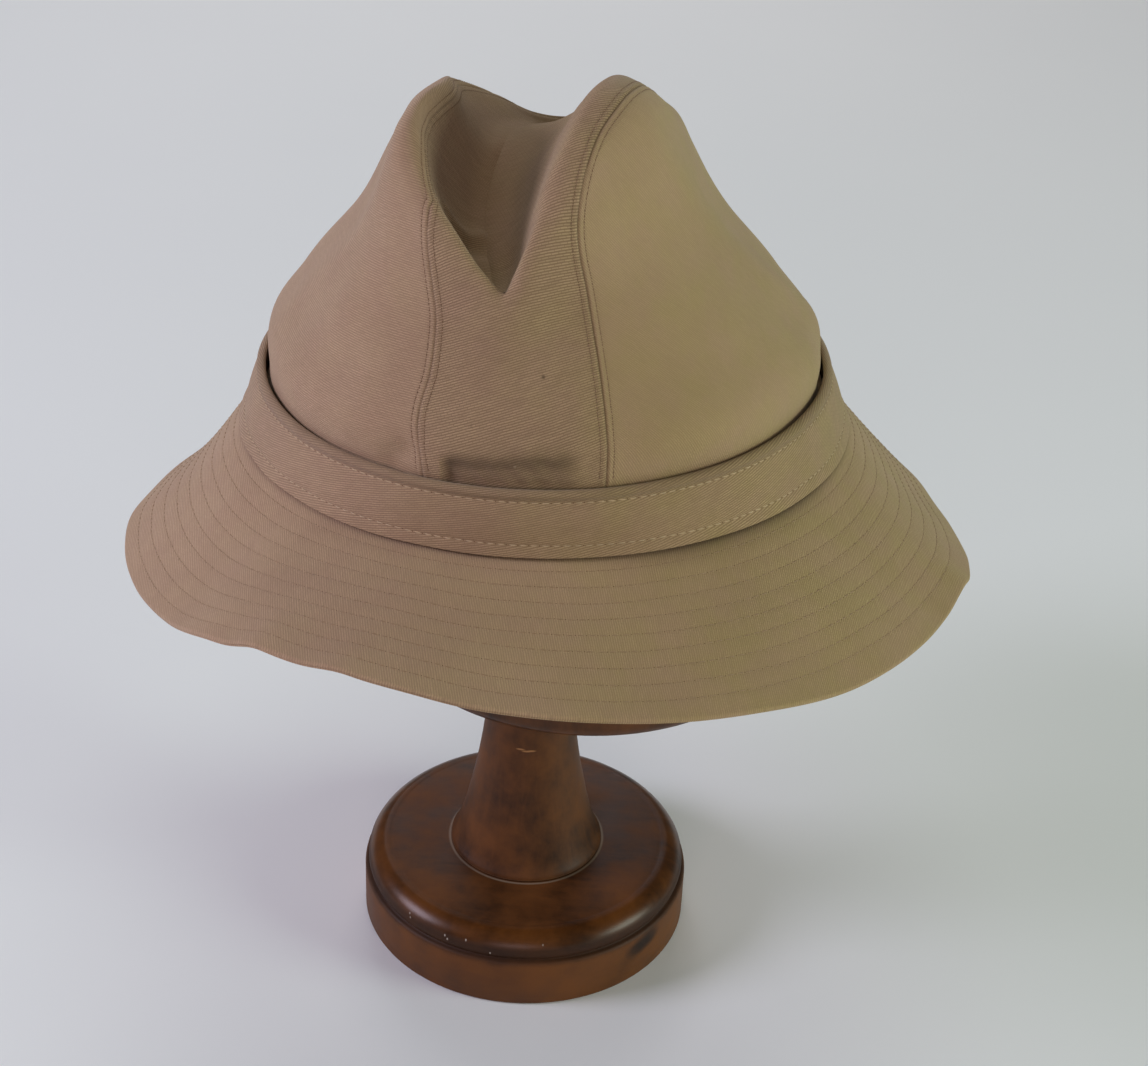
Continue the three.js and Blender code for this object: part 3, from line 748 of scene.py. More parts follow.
# %% Cloth lengths and the cut
def running_length(axis):
    """Length of cloth along the grid, from its first column or row."""
    steps = np.linalg.norm(np.diff(grid_points, axis=axis), axis=2)
    start = np.zeros_like(steps[:1] if axis == 0 else steps[:, :1])
    return np.concatenate([start, np.cumsum(steps, axis=axis)], axis=axis)


def clip(data, faces, keep):
    """The part of a sheet where keep is positive, with a clean edge where it crosses zero."""
    rows = list(data)
    shared = {}
    result = []
    positive = keep > 0
    whole = positive[faces].all(axis=1)
    crossed = positive[faces].any(axis=1) & ~whole
    result.extend(tuple(face) for face in faces[whole].tolist())
    for face in faces[crossed].tolist():
        cut = []
        for a, b in zip(face, face[1:] + face[:1]):
            if positive[a]:
                cut.append(a)
            if positive[a] != positive[b]:
                name = (min(a, b), max(a, b))
                if name not in shared:
                    f = keep[name[0]] / (keep[name[0]] - keep[name[1]])
                    shared[name] = len(rows)
                    rows.append(data[name[0]] * (1 - f) + data[name[1]] * f)
                cut.append(shared[name])
        if len(cut) > 2:
            result.append(tuple(cut))
    used = np.unique(np.concatenate([np.array(face) for face in result]))
    fresh = np.zeros(len(rows), int)
    fresh[used] = np.arange(len(used))
    return np.array(rows)[used], [tuple(fresh[list(face)].tolist()) for face in result]


def weld(points, data, faces):
    """Joins points that lie on each other, such as the two sides of the crease."""
    found = np.unique(np.round(points, 3), axis=0, return_index=True, return_inverse=True)
    kept, place = found[1], found[2].ravel()
    joined = []
    for face in faces:
        corners = list(dict.fromkeys(place[list(face)].tolist()))
        if len(corners) > 2:
            joined.append(tuple(corners))
    return points[kept], data[kept], joined


round_length = running_length(0)
up_length = running_length(1)
waist_row = int(np.argmin(np.abs(climbs)))
up_length = up_length - up_length[:, waist_row:waist_row + 1]
left_middle = int(np.argmin(np.abs(turns + 90)))
right_middle = int(np.argmin(np.abs(turns - 90)))
print("waist of the crown, cm round:", round(float(round_length[-1, waist_row]) / 10, 1))

# %% [markdown]
# ## The three crown panels
# Each panel's cells are cut out, pushed out or in by the folds and the seam, and given 1.3 mm of
# thickness, as two layers of drill have. The cloth coordinates are lengths along the panel, so the ribs
# keep their spacing where the panel narrows. The side panels are cut with the ribs at another slant than
# the centre one, and the painted shade in the ribs' valleys is set weaker or stronger on each panel,
# which is why they catch the light differently. Painted shade also darkens the seams and the hollow above
# the band.

# %% Crown panels
CROWN_SHELL = 1.3
HEAD_ARC = {"radius": 88, "centre_z": 20}
RELIEF_STARTS = (-0.1, 0.03)
PANELS = [
    {"node": "crown_left_panel", "ribs": 0, "show": 1.05, "middle": left_middle,
     "seams": (LEFT_SEAM,), "side": 1},
    {"node": "crown_centre_panel", "ribs": 18, "show": 1.45, "middle": None,
     "seams": (LEFT_SEAM, RIGHT_SEAM), "side": -1},
    {"node": "crown_right_panel", "ribs": -62, "show": 0.7, "middle": right_middle,
     "seams": (RIGHT_SEAM,), "side": 1},
]
outer_faces = {}
for panel in PANELS:
    if panel["middle"] is None:
        across = grid_points[..., 0]
        height = grid_points[..., 2] - HEAD_ARC["centre_z"]
        along = HEAD_ARC["radius"] * np.arctan2(grid_points[..., 1], height)
    else:
        across = round_length - round_length[panel["middle"]]
        along = up_length
    data = np.stack([grid_turn, grid_climb, across, along], axis=-1).reshape(-1, 4)
    keep = np.min([panel["side"] * inside_seam(data, seam) for seam in panel["seams"]], axis=0)
    data, faces = clip(data, grid_faces, keep)
    points = crown(data[:, 0], data[:, 1])
    points, data, faces = weld(points, data, faces)
    far = from_seam(points)
    gape = seam_gape(points)
    # painted shade in the seams, along their stitches and in the hollow above the band
    painted_shade = np.clip(seam_painted_shade(far, gape) + hollow_painted_shade(points), 0, 1)
    relief = seam_relief(far, gape) + fold_relief(points) + hollow_relief(points) + gentle_ripples(points)
    relief *= ease(data[:, 1], *RELIEF_STARTS)
    points = points + crown_normal(data[:, 0], data[:, 1]) * relief[:, None]
    outer_faces[panel["node"]] = (points, faces)
    shell, closed = thicken(points, faces, CROWN_SHELL)
    cloth = turned_cloth(data[:, 2:4], panel["ribs"], panel["show"])
    make_piece(panel["node"] + "_cloth", on_stand(shell), closed, twill,
               panel["node"], np.concatenate([cloth, cloth]), np.concatenate([painted_shade, painted_shade]))

# %% [markdown]
# ## The band
# The band is a strip of the same cloth, folded over at its top edge and stitched near both edges.
# A plain tube would look like plastic, so its section has a soft roll above the upper stitch row, a
# slight belly, a dip at each row, and it stands off a little from the crown at the sides.
# The groove under the roll and the roll itself are darkened with painted shade.

# %% The band
BAND_FOOT_OVAL = (94.2, 99.0)
BAND_TOP_OVAL = (86.0, 97.5)
BAND_FOOT = 0.5
BAND_HEIGHT = 20.6
BAND_SHELL = 2.1
BAND_ROWS = (4.3, 17.2)
BAND_RADIUS = 95
ROLL = {"z": 19.2, "radius": 1.35, "out": -0.85}
BAND_STEP = 0.38
BAND_CORNER = {"up": 0.35, "in": 0.3}
BELLY, FLARE = 0.3, 0.35
ROW_DIP = {"width": 0.55, "height": 0.22}
# painted shade in the groove under the rolled top edge, and over the roll itself
GROOVE_PAINTED_SHADE = {"width": 0.5, "height": 0.25}
ROLL_PAINTED_SHADE = 0.2
STAND_OFF = table("turn out", [
    (-180, 0), (-140, 0.2), (-95, 0.5), (-60, 0.2), (-20, 0), (20, 0), (60, 0.2), (90, 0.7), (135, 0.2)])


def band_face(turn, z, out=0.0):
    """The band's straight face from foot to top, pushed out by a number of millimetres."""
    f = z / BAND_HEIGHT
    relief = out + follow(STAND_OFF, "turn", turn, 360)["out"] * ease(f, 0.1, 1.0)
    half_x = BAND_FOOT_OVAL[0] + (BAND_TOP_OVAL[0] - BAND_FOOT_OVAL[0]) * f + relief
    half_y = BAND_FOOT_OVAL[1] + (BAND_TOP_OVAL[1] - BAND_FOOT_OVAL[1]) * f + relief
    return oval(turn, half_x, half_y, z)


def ring_faces(columns, rows):
    """Faces of a closed tube: columns sections round the hat, each a closed line of rows points."""
    i, k = np.meshgrid(np.arange(columns), np.arange(rows), indexing="ij")
    after, up = (i + 1) % columns, (k + 1) % rows
    faces = np.stack([i * rows + k, after * rows + k, after * rows + up, i * rows + up], axis=-1)
    return [tuple(face) for face in faces.reshape(-1, 4).tolist()]


band_turns = np.arange(-180, 180, 1.0)
groove = ROLL["z"] - ROLL["radius"]
flat_z = np.arange(BAND_FOOT + BAND_CORNER["up"], groove + 0.1, BAND_STEP)
between_rows = np.clip((flat_z - BAND_ROWS[0]) / (BAND_ROWS[1] - BAND_ROWS[0]), 0, 1)
belly = BELLY * np.sin(np.pi * between_rows)
dips = sum(mound(flat_z - row, **ROW_DIP) for row in BAND_ROWS)
flare = FLARE * (1 - ease(flat_z, 1.0, BAND_ROWS[0]))
roll_angle = np.radians(np.arange(-50, 181, 15))
inner_z = np.linspace(ROLL["z"] - 1.5, BAND_FOOT + BAND_CORNER["up"], 8)
section_z = np.concatenate([
    [BAND_FOOT], flat_z, ROLL["z"] + ROLL["radius"] * np.sin(roll_angle), inner_z, [BAND_FOOT]])
section_out = np.concatenate([
    [-BAND_CORNER["in"]], belly - dips + flare, ROLL["out"] + ROLL["radius"] * np.cos(roll_angle),
    np.full(len(inner_z), -BAND_SHELL), [-BAND_SHELL + BAND_CORNER["in"]]])
band_turn, band_z = np.meshgrid(band_turns, section_z, indexing="ij")
band_out = np.broadcast_to(section_out, band_turn.shape).ravel()
band_points = band_face(band_turn.ravel(), band_z.ravel(), band_out)
outward = unit(band_points * np.array([1, 1, 0]))
band_points += RIPPLE_SHARE["band"] * gentle_ripples(band_points)[:, None] * outward
band_round = np.radians(band_turn.ravel()) * BAND_RADIUS
section_step = np.hypot(np.diff(section_z), np.diff(section_out))
section_length = np.concatenate([[0], np.cumsum(section_step)])
band_up = np.broadcast_to(section_length, band_turn.shape).ravel()
band_cloth = turned_cloth(np.stack([band_round, band_up], axis=1), degrees=13, show=1.3)
# painted shade in the groove under the roll and over the roll
band_painted_shade = mound(band_z.ravel() - groove, **GROOVE_PAINTED_SHADE)
band_painted_shade += ROLL_PAINTED_SHADE * ease(band_z.ravel(), groove, groove + 0.8)
band_faces = ring_faces(len(band_turns), len(section_z))
outer_faces["hat_band"] = (band_points, band_faces)
make_piece("hat_band_cloth", on_stand(band_points), band_faces, twill, "hat_band",
           band_cloth, band_painted_shade)

# %% [markdown]
# ## The brim
# The brim is two layers of drill quilted together by rings of stitching, which is what keeps it firm.
# Its rows give the width along the cloth and the slope below level at the band and at the edge, so the
# droop at the back and the flare in front come from a few numbers. They are the solid's, apart from the
# front, which hangs a few degrees less here. A cloth simulation would droop evenly all round, and this
# brim doesn't. Each ring of stitches pulls a fine valley, and the edge carries the cloth's few waves.
# The brim is darkened with painted shade in the corner at the band, and a wider painted shadow of the
# band lies on its right front.

# %% Rows of the brim
BRIM_FOOT_OVAL = (93.6, 98.5)
BRIM_LIP = 4.6
BRIM_SHELL = 1.9
BRIM = table("turn width start end", [
    (-180, 50.9, 56, 39),
    (-150, 51, 62, 41),
    (-120, 51, 65, 42),
    (-95, 51, 60, 38),
    (-75, 50.8, 50.5, 32.5),
    (-60, 50.4, 43.5, 32),
    (-45, 49.6, 34.5, 24.5),
    (-30, 50.4, 18.3, 9),
    (-15, 50.8, 13.8, 6),
    (0, 51.1, 20, 13.5),
    (15, 51.2, 26, 22),
    (30, 51.8, 31, 29.5),
    (45, 53.5, 37.5, 35),
    (60, 53.5, 41, 34),
    (75, 52.5, 44, 31),
    (95, 53.1, 54, 41),
    (120, 51.5, 53, 47),
    (150, 51, 53, 41),
])
WAVES = table("turn spread rise reach", [
    (-31.0, 2.6, -0.7, 0.5),
    (-26.0, 2.2, 1.0, 0.4),
    (-20.0, 2.4, -0.5, 0.4),
    (-15.5, 2.0, 0.5, 0.4),
    (50.0, 4.0, 0.7, 0.8),
    (64.0, 3.0, -0.8, 0.35),
    (73.0, 2.4, 0.9, 0.3),
])
STITCH_RINGS = np.arange(4.0, 50, 5.2)
BRIM_SLICES = 12
PUFF = 0.03
RING_VALLEY = {"width": 0.9, "height": -0.09}
RING_PUCKER = {"width": 1.6, "height": 0.05}
PUCKERS_PER_RADIAN = 150


def brim(turn, step):
    """Upper face of the brim before its relief; step 0 at the band and 1 at the edge."""
    angle = np.radians(turn)
    outward = np.stack([np.sin(angle) / BRIM_FOOT_OVAL[0], -np.cos(angle) / BRIM_FOOT_OVAL[1]], axis=-1)
    outward = unit(outward)
    points = oval(turn, *BRIM_FOOT_OVAL, 0.0)
    row = follow(BRIM, "turn", turn, 360)
    for k in range(BRIM_SLICES):
        part = row["width"] * np.clip(step * BRIM_SLICES - k, 0, 1) / BRIM_SLICES
        slope = np.radians(row["start"] + (row["end"] - row["start"]) * (k + 0.5) / BRIM_SLICES)
        points[:, :2] += outward * (part * np.cos(slope))[:, None]
        points[:, 2] -= part * np.sin(slope)
    return points


def brim_normal(turn, step):
    """Upward direction of the brim's face."""
    round_the_hat = brim(turn + NUDGE["turn"], step) - brim(turn - NUDGE["turn"], step)
    further, nearer = np.minimum(step + NUDGE["step"], 1), np.maximum(step - NUDGE["step"], 0)
    outward = brim(turn, further) - brim(turn, nearer)
    return unit(np.cross(outward, round_the_hat))


def brim_relief(turn, step):
    """Valleys of the stitch rings, with the puff between them, and the waves of the edge."""
    far = step * follow(BRIM, "turn", turn, 360)["width"]
    nearest = np.abs(far[:, None] - STITCH_RINGS).min(axis=1)
    quilt = PUFF + mound(nearest, **RING_VALLEY)
    wavy = np.sin(np.radians(turn) * PUCKERS_PER_RADIAN + far * 1.7)
    total = (quilt + wavy * mound(nearest, **RING_PUCKER)) * ease(far, 0.5, 3)
    for place, spread, rise, reach in zip(*WAVES.values()):
        total += rise * mound(turn - place, spread) * ease(step, 1 - reach, 1)
    return total + RIPPLE_SHARE["brim"] * gentle_ripples(brim(turn, step)) * ease(step, 0, 0.2)


print("stitch rings on the brim:", len(STITCH_RINGS))

# %% The brim's section
brim_turns = np.arange(-180, 180, 0.9)
top_steps = np.linspace(0, 1, 104)
low_steps = np.linspace(1, 0, 30)
EDGE = table("out down", [
    (0.45, 0.22), (0.6, 0.36), (0.45, 0.46), (0.2, 0.5), (0.45, 0.54), (0.6, 0.66), (0.42, 0.82)])
step_line = np.concatenate([[0.0], top_steps, np.ones(len(EDGE["out"])), low_steps, [0.0]])
out_line = np.concatenate([
    [-BRIM_LIP], np.zeros_like(top_steps), EDGE["out"], np.zeros_like(low_steps), [-BRIM_LIP]])
down_line = np.concatenate([[0], np.zeros_like(top_steps), EDGE["down"], np.ones_like(low_steps), [1]])
print("points of the brim's section:", len(step_line))

# %% The brim's shell
EDGE_KINK = table("turn out", [
    (66, 0), (70, -0.3), (72.5, -0.3), (75, 0.7), (76, 0.9), (79, 0.4), (85, 0)])
KINK_STARTS = 0.72
NEAR_EDGE = 0.96
FLAT_BRIM = {"inner": 96, "width": 50}
# painted shade in the corner where the brim meets the band, and a wider painted shadow of the band on the
# right front
FOOT_PAINTED_SHADE = {"width": 1.0, "height": 0.25}
BAND_PAINTED_SHADOW = {"width": 3.2, "height": 0.4}
BAND_SHADOW_TURNS = {"starts": (12, 34), "ends": (52, 76)}
flat_turn, flat_step = (grid.ravel() for grid in np.meshgrid(brim_turns, step_line, indexing="ij"))
normals = brim_normal(flat_turn, flat_step)
brim_points = brim(flat_turn, flat_step) + normals * brim_relief(flat_turn, flat_step)[:, None]
brim_points -= normals * (np.tile(down_line, len(brim_turns)) * BRIM_SHELL)[:, None]
at_edge = brim(flat_turn, np.ones_like(flat_step))
edge_out = unit(at_edge - brim(flat_turn, np.full_like(flat_step, NEAR_EDGE)))
lip_out = unit(oval(flat_turn, *BRIM_FOOT_OVAL, 0.0) * np.array([1, 1, 0]))
shift = np.tile(out_line, len(brim_turns))[:, None]
brim_points += np.where(shift > 0, edge_out, lip_out) * shift
kink = np.interp(flat_turn, EDGE_KINK["turn"], EDGE_KINK["out"]) * ease(flat_step, KINK_STARTS, 1.0)
brim_points += edge_out * kink[:, None]
brim_faces = [face[::-1] for face in ring_faces(len(brim_turns), len(step_line))]
beside_band = FLAT_BRIM["width"] * flat_step
flat_far = FLAT_BRIM["inner"] + beside_band
flat_angle = np.radians(flat_turn)
brim_plan = np.stack([-flat_far * np.cos(flat_angle), flat_far * np.sin(flat_angle)], axis=1)
brim_cloth = turned_cloth(brim_plan, degrees=-15, show=0.8)
# painted shadow of the band on the brim's right front, and painted shade all round at the band
band_shadow_share = ease(flat_turn, *BAND_SHADOW_TURNS["starts"]) * (1 - ease(flat_turn, *BAND_SHADOW_TURNS["ends"]))
brim_painted_shade = mound(beside_band, **FOOT_PAINTED_SHADE) + band_shadow_share * mound(beside_band, **BAND_PAINTED_SHADOW)
outer_faces["brim"] = (brim_points, brim_faces)
make_piece("brim_cloth", on_stand(brim_points), brim_faces, twill, "brim",
           brim_cloth, brim_painted_shade, crisp=75)

# %% [markdown]
# ## Sewing thread
# The hat is sewn with mercerised cotton thread, about 0.3 mm thick and smoother than the cloth, so it
# shines a little more. On the band it is paler than the cloth, on the brim nearly its shade, and beside
# the crown's seams a darker brown. Each stitch is a short arched length of thread whose ends dive into
# the cloth at the needle holes. A dashed line in a material would stay flat in other views, so the
# stitches are small meshes, and a nearest-point search seats them on the cloth.
# The needle holes are small dark discs of painted shade.

# %% Thread and needle hole materials
THREAD_MOTTLE_MM = 6.25
TWIST_MM = 0.35
HOLE_MOTTLE_MM = 3.33


def sewing_thread(name, dark, light):
    """Mercerised cotton thread: twisted, smooth and a little shiny."""
    material, tree, shader = new_material(name)
    place = add(tree, "TexCoord", "Object")
    uneven = add(tree, "TexNoise", "Fac", {
        "Vector": place, "Scale": 1000 / THREAD_MOTTLE_MM, "Detail": 2.0})
    twist = add(tree, "TexWave", "Fac", {
        "Vector": place, "Scale": 1000 * WAVE_UNIT / TWIST_MM}, bands_direction="DIAGONAL")
    bump = add(tree, "Bump", "Normal", {"Height": twist, "Strength": 0.2, "Distance": 0.00005})
    tone = layered(tree, dark, [(uneven, light)])
    fill(tree, shader, {"Base Color": tone, "Normal": bump, "Roughness": 0.62, "IOR": 1.53})
    return material


def needle_hole():
    """The dark mouth of a needle hole, deep in shade between the yarns."""
    material, tree, shader = new_material("needle hole shade")
    place = add(tree, "TexCoord", "Object")
    uneven = add(tree, "TexNoise", "Fac", {"Vector": place, "Scale": 1000 / HOLE_MOTTLE_MM})
    shade = layered(tree, "#523A28", [(uneven, "#684C36")])
    fill(tree, shader, {"Base Color": shade, "Roughness": 1.0, "Specular IOR Level": 0.1})
    return material


pale_thread = sewing_thread("pale sewing thread", "#B39C7C", "#D0BC9A")
brown_thread = sewing_thread("brown sewing thread", "#72573F", "#8C6E52")
khaki_thread = sewing_thread("khaki sewing thread", "#8C7254", "#A38967")
hole_shade = needle_hole()
print("threads:", ", ".join(thread.name for thread in (pale_thread, brown_thread, khaki_thread)))

# %% Seating stitches on the cloth
STITCH_SIDES = 5
STITCH_ANGLES = np.arange(STITCH_SIDES) * 2 * math.pi / STITCH_SIDES
STITCH_LIFT = np.array([-0.16, 0.05, 0.05, -0.16])
STITCH_WOBBLE = 0.12
HOLE = {"along_gap": 0.45, "lift": 0.03, "long": 1.3}
random = np.random.default_rng(11)


def carrier(*nodes):
    """A search tree over the outer faces of some pieces."""
    points, faces, count = [], [], 0
    for node in nodes:
        points.append(outer_faces[node][0])
        faces.extend(tuple(i + count for i in face) for face in outer_faces[node][1])
        count += len(outer_faces[node][0])
    return BVHTree.FromPolygons(np.concatenate(points).tolist(), faces)


def walk(path, stitch, gap):
    """Starts and ends of stitches along a path, as points."""
    lengths = np.concatenate([[0], np.cumsum(np.linalg.norm(np.diff(path, axis=0), axis=1))])
    count = int(lengths[-1] // (stitch + gap))
    pitch = lengths[-1] / count
    starts = np.arange(count) * pitch + random.uniform(-STITCH_WOBBLE, STITCH_WOBBLE, count)
    share = np.linspace(0, 1, len(STITCH_LIFT))
    places = starts[:, None] + share * (pitch - gap)
    return np.stack([np.interp(places, lengths, path[:, axis]) for axis in range(3)], axis=-1)


def stitch_faces(first):
    """Faces of one stitch, a closed tube whose points start at a number."""
    count = len(STITCH_LIFT) * STITCH_SIDES
    faces = []
    for a in range(first, first + count - STITCH_SIDES):
        b = a + 1 if (a - first + 1) % STITCH_SIDES else a + 1 - STITCH_SIDES
        faces.append((a, b, b + STITCH_SIDES, a + STITCH_SIDES))
    ends = range(first, first + STITCH_SIDES)
    return faces + [tuple(reversed(ends)), tuple(m + count - STITCH_SIDES for m in ends)]


def sew(name, paths, tree, thread, stitch, gap, radius):
    """One piece with a row of thread stitches along each path, and one with dark discs of painted shade
    at their needle holes.
    """
    points, faces, holes, hole_faces = [], [], [], []
    cos, sin = np.cos(STITCH_ANGLES)[:, None], np.sin(STITCH_ANGLES)[:, None]
    for run in np.concatenate([walk(path, stitch, gap) for path in paths]):
        found = [tree.find_nearest(point) for point in run]
        seats = np.array([hit[0] for hit in found])
        normal = np.array([hit[1] for hit in found])
        along = unit(np.gradient(seats, axis=0))
        side = unit(np.cross(along, normal))
        line = seats + normal * STITCH_LIFT[:, None]
        ring = cos * normal[:, None] + sin * side[:, None]
        faces.extend(stitch_faces(len(points) * len(STITCH_LIFT) * STITCH_SIDES))
        points.append((line[:, None] + ring * radius).reshape(-1, 3))
        # each needle hole gets a small dark disc of painted shade
        mouth = seats[-1] + along[-1] * gap * HOLE["along_gap"] + normal[-1] * HOLE["lift"]
        first = len(holes) * STITCH_SIDES
        holes.append(mouth + (cos * along[-1] * HOLE["long"] + sin * side[-1]) * radius)
        hole_faces.append(tuple(range(first, first + STITCH_SIDES)))
    make_piece(name + "_stitching", on_stand(np.concatenate(points)), faces, thread, crisp=60)
    make_piece(name + "_needle_hole_shade", on_stand(np.concatenate(holes)), hole_faces, hole_shade)


print("faces of one stitch:", len(stitch_faces(0)))

# %% Stitch rows
ABOVE_BAND = 0.015
CLEAR_OF_EDGE = 1


def beside_seam(rows, away):
    """A path at a distance beside a seam, for the stitch row there."""
    places = seam_places(rows, SEAM_STEPS["to sew along"])
    places = places[places[:, 1] > ABOVE_BAND]
    middle = crown(places[:, 0], places[:, 1])
    side = unit(np.cross(crown_normal(places[:, 0], places[:, 1]), np.gradient(middle, axis=0)))
    return middle + side * away


crown_tree = carrier("crown_left_panel", "crown_centre_panel", "crown_right_panel")
crown_paths = [beside_seam(rows, away) for rows in (LEFT_SEAM, RIGHT_SEAM)
               for away in (-SEAM_STITCH_AWAY, SEAM_STITCH_AWAY)]
sew("crown_seam", crown_paths, crown_tree, brown_thread, stitch=0.9, gap=0.6, radius=0.13)
circle = np.linspace(-180, 180, 721)
band_paths = [band_face(circle, np.full_like(circle, row)) for row in BAND_ROWS]
sew("band", band_paths, carrier("hat_band"), pale_thread, stitch=2.1, gap=0.9, radius=0.14)
widths = follow(BRIM, "turn", circle, 360)["width"]
brim_rings = STITCH_RINGS[STITCH_RINGS < widths.min() - CLEAR_OF_EDGE]
brim_paths = [brim(circle, ring / widths) for ring in brim_rings]
sew("brim", brim_paths, carrier("brim"), khaki_thread, stitch=2.3, gap=0.8, radius=0.13)

# %% [markdown]
# ## Stained wood
# The stand is turned beech with a dark walnut stain and a worn satin varnish. Stain soaks in unevenly, so
# brown blotches lie over the fine grain. The wood is darker in the cove under the bead, the stain has
# worn lighter on the drum, and hands have polished the bead, which gives it a clear highlight.
# The burn on the drum, the specks of old paint and the scratch on the post are marks at places in
# millimetres, and a pale line of old glue runs round the post's foot.

# %% Marks and zones of the wood
WOOD_MARKS = [
    {"name": "burn", "tint": "#1C120C", "half": (6.0, 6.0, 4.2), "strength": 0.72,
     "at": [(42.0, -37.0, 12.4), (44.2, -34.4, 13.2), (46.2, -31.7, 14.0)]},
    {"name": "old paint", "tint": "#CFC8BA", "half": (0.36, 0.6, 0.55), "strength": 0.6,
     "at": [(-34.5, -41.4, 23.0), (-34.2, -42.2, 22.0), (-21.5, -49.9, 22.3), (-20.6, -50.6, 21.4),
            (-14.2, -52.1, 23.0), (-5.8, -54.4, 20.4), (11.4, -52.0, 23.8)]},
    {"name": "scratch", "tint": "#A87A4C", "half": (1.9, 1.2, 0.42), "strength": 0.75,
     "at": [(-1.6, -15.5, 75.6), (0.4, -15.6, 75.0), (2.2, -15.5, 75.2)]},
]
WOOD_ZONES = {
    "cove": {"strength": 0.72, "ramps": [("height", 24.8, 22.2), ("height", 16.5, 18.2)]},
    "drum": {"strength": 0.32, "ramps": [("height", 18.0, 15.5)]},
    "glue": {"strength": 0.5, "ramps": [
        ("radius", 25.9, 26.5), ("radius", 27.2, 26.6), ("height", 28.3, 28.2)]},
    "bead": {"strength": 1.0, "ramps": [("radius", 48.4, 49.7), ("height", 22.2, 23.6)]},
}


def wood_zones(tree, place):
    """A share for each zone: the product of its ramps, each from nothing to full along one measure."""
    level = add(tree, "VectorMath", "Vector", {0: place, 1: (1, 1, 0)}, operation="MULTIPLY")
    radius = add(tree, "VectorMath", "Value", {0: level}, operation="LENGTH")
    measures = {"radius": radius, "height": add(tree, "SeparateXYZ", "Z", {"Vector": place})}
    shares = {}
    for zone, row in WOOD_ZONES.items():
        shares[zone] = row["strength"]
        for measure, none, full in row["ramps"]:
            ramp = add(tree, "MapRange", "Result", {
                "Value": measures[measure], "From Min": none / 1000, "From Max": full / 1000})
            shares[zone] = add(tree, "Math", "Value", {0: shares[zone], 1: ramp}, operation="MULTIPLY")
    return shares


print("marks on the wood:", ", ".join(mark["name"] for mark in WOOD_MARKS))

# %% Wood material
BLOTCH_MM = 20.8
POLISHED = 0.3


def stained_beech(name, grain_mm):
    """Beech turned on a lathe, stained dark and varnished to a satin shine."""
    material, tree, shader = new_material(name)
    place = add(tree, "TexCoord", "Object")
    long = add(tree, "Mapping", "Vector", {"Vector": place, "Scale": [1000 / size for size in grain_mm]})
    grain = add(tree, "TexNoise", "Fac", {
        "Vector": long, "Scale": 1.0, "Detail": 6.0, "Roughness": 0.65, "Distortion": 0.6})
    blotch = add(tree, "TexNoise", "Fac", {
        "Vector": place, "Scale": 1000 / BLOTCH_MM, "Detail": 5.0, "Roughness": 0.6})
    streak = add(tree, "MapRange", "Result", {"Value": grain, "From Min": 0.35, "From Max": 0.68})
    soak = add(tree, "MapRange", "Result", {"Value": blotch, "From Min": 0.38, "From Max": 0.66})
    zones = wood_zones(tree, place)
    wood = layered(tree, "#2F1A09", [
        (streak, "#4A2B11"), (soak, "#643C19"), (zones["cove"], "#251306"), (zones["drum"], "#7A4A1E"),
        *mark_layers(tree, place, WOOD_MARKS), (zones["glue"], "#A39683")])
    satin = add(tree, "MapRange", "Result", {
        "Value": blotch, "From Min": 0.3, "From Max": 0.7, "To Min": 0.5, "To Max": 0.68})
    gloss = add(tree, "MapRange", "Result", {
        "Value": zones["bead"], "To Min": satin, "To Max": POLISHED})
    bump = add(tree, "Bump", "Normal", {"Height": grain, "Strength": 0.12, "Distance": 0.0003})
    fill(tree, shader, {
        "Base Color": wood, "Normal": bump, "Roughness": gloss, "IOR": 1.5, "Specular IOR Level": 0.27})
    return material


upright_beech = stained_beech("stained beech upright grain", (3.85, 3.85, 29.4))
flat_beech = stained_beech("stained beech flat grain", (25, 4.17, 4.17))
print("wood materials:", upright_beech.name, "and", flat_beech.name)

# %% [markdown]
# ## The turned stand
# A lathe shapes wood by one outline, so each piece of the stand is an outline spun round its axis.
# The outline's corners are eased, because a turner always breaks an edge, and 128 steps round keep the
# rim smooth up close.

# %% Outlines of the stand
SPIN_STEPS = 128
BASE_OUTLINE = table("radius z", [
    (0, 0), (54, 0), (55.2, 0.1), (55.7, 0.35), (56, 0.9), (56, 16.7), (55.9, 17.3), (55.5, 17.8),
    (54.9, 18.1), (54.3, 18.25), (54.15, 18.5), (54.5, 19.1), (54.8, 20.1), (54.8, 21.2), (54.5, 22.4),
    (53.9, 23.5), (53.0, 24.6), (51.9, 25.6), (50.6, 26.4), (49.2, 26.95), (48.0, 27.15), (47.4, 27.05),
    (47.0, 27.0), (46.5, 27.1), (44, 27.3), (40, 27.4), (0, 27.4)])
POST_OUTLINE = table("radius z", [
    (0, 27.7), (25.6, 27.7), (26, 28.0), (26, 28.8), (25.5, 29.7), (24.7, 31), (23.8, 33.4), (22.7, 37),
    (21.6, 41), (20.4, 46), (19.2, 52), (18, 58), (17, 64), (16, 71), (15.2, 78), (14.6, 86),
    (14.2, 94), (14, 102), (14, 117.4), (13.7, 117.7), (0, 117.7)])
BLOCK_OUTLINE = table("radius z", [
    (0, 118), (61, 118), (63.5, 118.4), (65, 119.4), (65.8, 121), (66, 122.5), (65.8, 130), (65, 140),
    (63.5, 154), (61.5, 168), (59.2, 182), (56.5, 195), (53.5, 207), (50, 218), (46, 229), (41, 240),
    (35.3, 250.5), (29, 260), (23, 268), (17, 275.5), (12.4, 284), (8, 290.4), (4, 292), (0, 292.6)])
BLOCK_PLACE = np.array([16.0, 1.0, 0.0])


